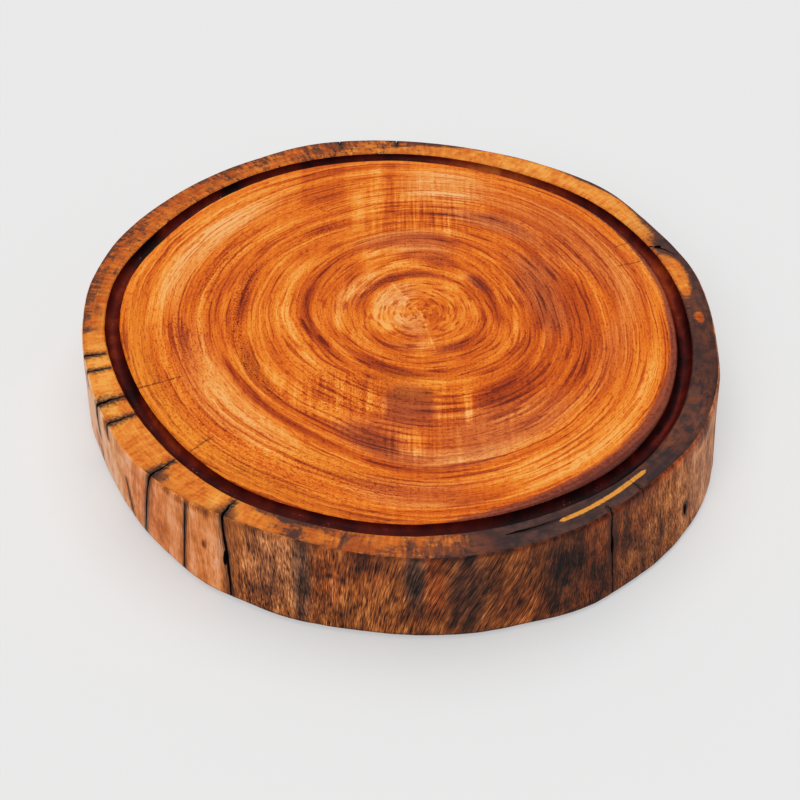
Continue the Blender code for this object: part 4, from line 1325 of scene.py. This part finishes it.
def groove_finish():
    """Groove scorched by the cutter and soaked with oil: near-black maroon with small wet glints."""
    made, node = new_finish("scorched_oiled_groove")
    rings, tone = read(node, "ring", "groove_tone")
    streaks = ring_noise(node, rings, ring_turn(node), 14.0, 9.0, 3.0)
    cloud = object_noise(node, 10.0)
    glint = object_noise(node, 0.9, 0.0)
    # The groove's tone field is partly painted light: lighter walls where they face the light, and thin
    # painted glints
    tone += 0.30 + swing(streaks, 0.62) + swing(cloud, 0.6)
    colour = node("ValToRGB", tone, stops=GROOVE_STOPS)
    wet = node("MapRange", glint, 0.74, 0.80) * node("MapRange", cloud, 0.5, 0.6)
    dull = node("MapRange", wet, 0.0, 1.0, 0.5, 0.12)
    shine = node("MapRange", wet, 0.0, 1.0, 0.06, 1.0)
    node("OutputMaterial", node("BsdfPrincipled", Base_Color=colour, Roughness=dull,
                                Specular_IOR_Level=shine))
    return made


def side_finish():
    """Debarked and scraped sapwood with its long fibres, weathered in broad zones, thinly oiled.
    A real fibre is under 0.2 mm wide, too fine to show, so strands of 0.4 and 0.8 mm are drawn."""
    made, node = new_finish("debarked_sapwood")
    # The side's tone field is partly painted light, lighter round the left where the light falls
    zone, below, check = read(node, "side_tone", "below", "check")
    strands = fibre_noise(node, 1.25, 0.06, 1.0)
    fine = fibre_noise(node, 2.8, 0.06)
    bands = fibre_noise(node, 0.15, 0.16, 3.0)
    cloud = object_noise(node, 14.0, 4.0)
    grain = swing(strands, 0.70) + swing(fine, 0.80) + node("MapRange", strands, 0.30, 0.42, -0.25, 0.0)
    grain *= node("MapRange", below, 1.0, 8.0, 0.45, 1.0)
    grain *= node("MapRange", zone, 0.55, 0.80, 1.0, 0.28) * node("MapRange", zone, 0.24, 0.44, 0.55, 1.0)
    weather = (swing(bands, 1.0) + swing(cloud, 0.8)) * node("MapRange", zone, 0.65, 0.90, 1.0, 0.7)
    # Painted shade: the side is darker over its last 3.5 mm, where it meets the floor
    tone = zone + grain + weather + node("MapRange", below, 57.5, 61.0, 0.0, -0.30)
    colour = node("ValToRGB", tone, stops=SIDE_STOPS)
    # The pink tint is painted sheen, where light glances off the side
    for name, share, tint in SIDE_TINTS:
        amount = share * read(node, name)[0]
        colour = node("Mix", amount, colour, tint, data_type="RGBA", blend_type="COLOR")
    halo = check + swing(strands, 1.6)
    colour = turned(node, colour, "#6A3216", halo, 2.2, 0.6, 0.6)
    colour = turned(node, colour, "#241410", halo, 1.0, 0.1, 0.95)
    height = node("Bump", Strength=0.7, Distance=0.0006, Height=strands + 0.6 * fine)
    node("OutputMaterial", node("BsdfPrincipled", Base_Color=colour, Roughness=0.6, Normal=height,
                                Specular_IOR_Level=0.15))
    return made


def underside_finish():
    """Sanded and sealed end grain of the underside: duller, rounder rings, no juice and no stain."""
    made, node = new_finish("sealed_end_grain")
    place = node("VectorMath", node("TexCoord")["Object"], PITH_PLACE, operation="SUBTRACT")
    flat = node("VectorMath", place, (1.0, 1.0, 0.0), operation="MULTIPLY")
    away = node("VectorMath", flat, operation="LENGTH")
    rings = away * (1.0 / MM) + swing(object_noise(node, 40.0, 2.0), 5.0)
    turn = ring_turn(node)
    broad = ring_noise(node, rings, turn, 8.0, 0.8)
    fine = ring_noise(node, rings, turn, 1.4, 1.6)
    colour = node("ValToRGB", 0.50 + swing(broad, 0.8) + swing(fine, 0.55), stops=DUSTY_STOPS)
    node("OutputMaterial", node("BsdfPrincipled", Base_Color=colour, Roughness=0.6, Specular_IOR_Level=0.3))
    return made


def crack_finish():
    """Torn wood inside the checks and borer holes, near black: partly with age and dust, partly painted
    shade deep in the narrow gaps.
    """
    made, node = new_finish("dry_torn_wood")
    colour = turned(node, "#0E0807", "#2A1710", object_noise(node, 1.2, 2.0), 0.4, 0.7)
    node("OutputMaterial", node("BsdfPrincipled", Base_Color=colour, Roughness=0.9, Specular_IOR_Level=0.1))
    return made


def seat_finish():
    """Freshly drilled wood in the seats of the feet: pale and matt."""
    made, node = new_finish("drilled_wood")
    colour = node("Mix", object_noise(node, 1.0), "#B87036", "#E09A58", data_type="RGBA")
    node("OutputMaterial", node("BsdfPrincipled", Base_Color=colour, Roughness=0.75))
    return made


def rubber_finish(colour):
    """Moulded natural rubber: nearly black, dull, with a faint bloom of dust. The mould's grain of
    0.1 mm is too fine to show, so it is drawn 0.35 mm wide."""
    made, node = new_finish("moulded_black_rubber")
    colour = turned(node, colour, "#2C2B2B", object_noise(node, 3.0), 0.4, 0.8)
    height = node("Bump", Strength=0.25, Distance=0.0001, Height=object_noise(node, 0.35, 2.0))
    node("OutputMaterial", node("BsdfPrincipled", Base_Color=colour, Roughness=0.72, Normal=height,
                                IOR=1.52))
    return made


def steel_finish(colour):
    """Zinc-plated steel: cool grey metal with faint cloudy passivation. The washers and the
    screws share it."""
    shared = bpy.data.materials.get(STEEL_NAME)
    if shared:
        return shared
    made, node = new_finish(STEEL_NAME)
    cloud = object_noise(node, 2.5)
    colour = node("Mix", cloud, colour, "#C9C3A6", data_type="RGBA")
    dull = node("MapRange", cloud, 0.3, 0.7, 0.24, 0.40)
    node("OutputMaterial", node("BsdfPrincipled", Base_Color=colour, Metallic=1.0, Roughness=dull))
    return made


def floor_finish(stage):
    """Plain matt paint. A share of it shines evenly to the camera, as on a sheet lit from below."""
    made, node = new_finish("painted_floor")
    paint = node("BsdfPrincipled", Base_Color=stage.floor_colour, Roughness=0.9, Specular_IOR_Level=0.0)
    glow = node("Emission", stage.floor_colour, 1.0)
    ray = node("LightPath")
    seen = node("Math", ray["Is Camera Ray"], ray["Is Glossy Ray"], operation="MAXIMUM")
    node("OutputMaterial", node("MixShader", stage.floor_glow * seen, paint, glow))
    return made


def settled(piece, replaced):
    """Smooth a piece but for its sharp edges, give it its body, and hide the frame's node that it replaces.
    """
    piece.data.shade_smooth()
    piece.data.set_sharp_from_angle(angle=np.radians(SHARP_ANGLE))
    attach(piece, "root")
    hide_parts(replaced)


def turned_pieces(name, replaced, rings, faces, finish, base=0.0):
    """One copy of a turned piece at each foot, its own zero at the height of base."""
    for number in range(FOOT_COUNT):
        place = foot_middle(number) + np.array([0.0, 0.0, base])
        piece = mesh_object(f"{name}_{number + 1}", (rings + place).reshape(-1, 3), faces)
        piece.data.materials.append(finish)
        settled(piece, f"{replaced}_{number + 1}")


class BoardSizes(bpy.types.PropertyGroup):
    """Sizes of the board that a maker would change."""

    side_relief: bpy.props.FloatProperty(
        name="Side relief", description="Depth of the weathered grooves in the side",
        default=0.0011, min=0.0, max=0.003, unit="LENGTH", precision=5)


class BoardColours(bpy.types.PropertyGroup):
    """Colours of the fittings that a maker would change."""

    rubber: bpy.props.FloatVectorProperty(
        name="Rubber colour", description="Colour of the feet below their bloom of dust",
        subtype="COLOR", size=4, default=linear("#17171A"), min=0.0, max=1.0)
    steel: bpy.props.FloatVectorProperty(
        name="Steel colour", description="Colour of the plating on the washers and screws",
        subtype="COLOR", size=4, default=linear("#B4B6B2"), min=0.0, max=1.0)


class BoardStage(bpy.types.PropertyGroup):
    """Floor and light."""

    floor_colour: bpy.props.FloatVectorProperty(
        name="Floor colour", description="Colour of the plain floor", subtype="COLOR",
        size=4, default=linear("#EBEBEB"), min=0.0, max=1.0)
    floor_glow: bpy.props.FloatProperty(
        name="Floor glow", description="Share of the floor that the camera sees as evenly lit",
        default=0.42, min=0.0, max=1.0, subtype="FACTOR")
    sky_strength: bpy.props.FloatProperty(
        name="Sky strength", description="Even light from all round", default=0.28, min=0.0)
    key_strength: bpy.props.FloatProperty(
        name="Key strength", description="Soft light from nearly overhead, slightly behind the board",
        default=1.45, min=0.0)
    front_strength: bpy.props.FloatProperty(
        name="Front strength", description="Soft light from over the camera, from its left",
        default=1.2, min=0.0)


class BOARD_OT_slab(bpy.types.Operator):
    """Make the slab of wood with its groove, checks and grain"""

    bl_idname = "board.slab"
    bl_label = "Log Slab"

    def execute(self, context):
        slab = plain_slab()
        finishes = (underside_finish, side_finish, rim_finish, groove_finish, plateau_finish,
                    crack_finish, seat_finish)
        for finish in finishes:
            slab.data.materials.append(finish())
        cut_slab(slab)
        mark_slab(slab)
        settled(slab, "slab")
        return {"FINISHED"}


class BOARD_OT_feet(bpy.types.Operator):
    """Make the rubber feet"""

    bl_idname = "board.feet"
    bl_label = "Rubber Feet"

    def execute(self, context):
        rubber = rubber_finish(context.scene.board_colours.rubber)
        profile = foot_profile()
        faces = grid_faces(len(profile), TURNED_SIDES, closed=True).tolist()
        turned_pieces("rubber_foot", "foot", turned_rings(profile), faces, rubber)
        return {"FINISHED"}


class BOARD_OT_washers(bpy.types.Operator):
    """Make the washers under the screw heads"""

    bl_idname = "board.washers"
    bl_label = "Washers"

    def execute(self, context):
        steel = steel_finish(context.scene.board_colours.steel)
        profile = washer_profile()
        faces = grid_faces(len(profile), TURNED_SIDES, closed=True).tolist()
        turned_pieces("steel_washer", "foot_washer", turned_rings(profile),
                      faces, steel, washer_base())
        return {"FINISHED"}


class BOARD_OT_screws(bpy.types.Operator):
    """Make the wood screws that hold the feet"""

    bl_idname = "board.screws"
    bl_label = "Wood Screws"

    def execute(self, context):
        steel = steel_finish(context.scene.board_colours.steel)
        rings = screw_rings()
        faces = capped_faces(grid_faces(len(rings), TURNED_SIDES), len(rings), TURNED_SIDES)
        turned_pieces("wood_screw", "foot_screw", rings, faces, steel,
                      screw_bearing())
        return {"FINISHED"}


def place_in_scene(name, data):
    """A new object that shows a lamp's or a camera's data."""
    piece = bpy.data.objects.new(name, data)
    bpy.context.scene.collection.objects.link(piece)
    return piece


class BOARD_OT_stage(bpy.types.Operator):
    """Make the floor, the light and the camera"""

    bl_idname = "board.stage"
    bl_label = "Stage"

    def execute(self, context):
        scene = context.scene
        stage = scene.board_stage
        corners = [(x * FLOOR_REACH, y * FLOOR_REACH, 0.0) for x, y in ((-1, -1), (1, -1), (1, 1), (-1, 1))]
        floor = mesh_object("floor", corners, [(0, 1, 2, 3)])
        floor.data.materials.append(floor_finish(stage))
        scene.world = bpy.data.worlds.new("sky")
        scene.world.use_nodes = True
        sky = scene.world.node_tree.nodes["Background"].inputs
        sky["Color"].default_value = (1.0, 1.0, 1.0, 1.0)
        sky["Strength"].default_value = stage.sky_strength
        for name, strength, tilt, turn, softness in (
            ("key", stage.key_strength, *KEY_LIGHT),
            ("front", stage.front_strength, *FRONT_LIGHT),
        ):
            data = bpy.data.lights.new(name, "SUN")
            data.energy = strength
            data.angle = np.radians(softness)
            place_in_scene(name, data).rotation_euler = (np.radians(tilt), 0.0, np.radians(turn))
        view = bpy.data.cameras.new("camera")
        view.lens = LENS
        view.sensor_width = SENSOR
        scene.camera = place_in_scene("camera", view)
        scene.camera.location = CAMERA_PLACE
        scene.camera.rotation_euler = (np.radians(CAMERA_TILT), 0.0, 0.0)
        scene.view_settings.view_transform = "Standard"
        return {"FINISHED"}


OPERATORS = (BOARD_OT_slab, BOARD_OT_feet, BOARD_OT_washers, BOARD_OT_screws, BOARD_OT_stage)


class BOARD_PT_panel(bpy.types.Panel):
    """Lists the board's operators and settings"""

    bl_idname = "BOARD_PT_panel"
    bl_label = "Cutting Board"
    bl_space_type = "VIEW_3D"
    bl_region_type = "UI"
    bl_category = "Board"

    def draw(self, context):
        scene = context.scene
        for settings in (scene.board_sizes, scene.board_colours, scene.board_stage):
            for key in settings.__annotations__:
                self.layout.prop(settings, key)
        for operator in OPERATORS:
            self.layout.operator(operator.bl_idname)


CLASSES = (BoardSizes, BoardColours, BoardStage, *OPERATORS, BOARD_PT_panel)


def register():
    """Register the classes and hang the settings on the scene."""
    for kind in CLASSES:
        bpy.utils.register_class(kind)
    bpy.types.Scene.board_sizes = bpy.props.PointerProperty(type=BoardSizes)
    bpy.types.Scene.board_colours = bpy.props.PointerProperty(type=BoardColours)
    bpy.types.Scene.board_stage = bpy.props.PointerProperty(type=BoardStage)


def unregister():
    """Undo what register does."""
    del bpy.types.Scene.board_stage
    del bpy.types.Scene.board_colours
    del bpy.types.Scene.board_sizes
    for kind in reversed(CLASSES):
        bpy.utils.unregister_class(kind)


def main():
    """Make the board piece by piece."""
    register()
    bpy.ops.board.slab()
    bpy.ops.board.feet()
    bpy.ops.board.washers()
    bpy.ops.board.screws()
    bpy.ops.board.stage()


if __name__ == "__main__":
    main()
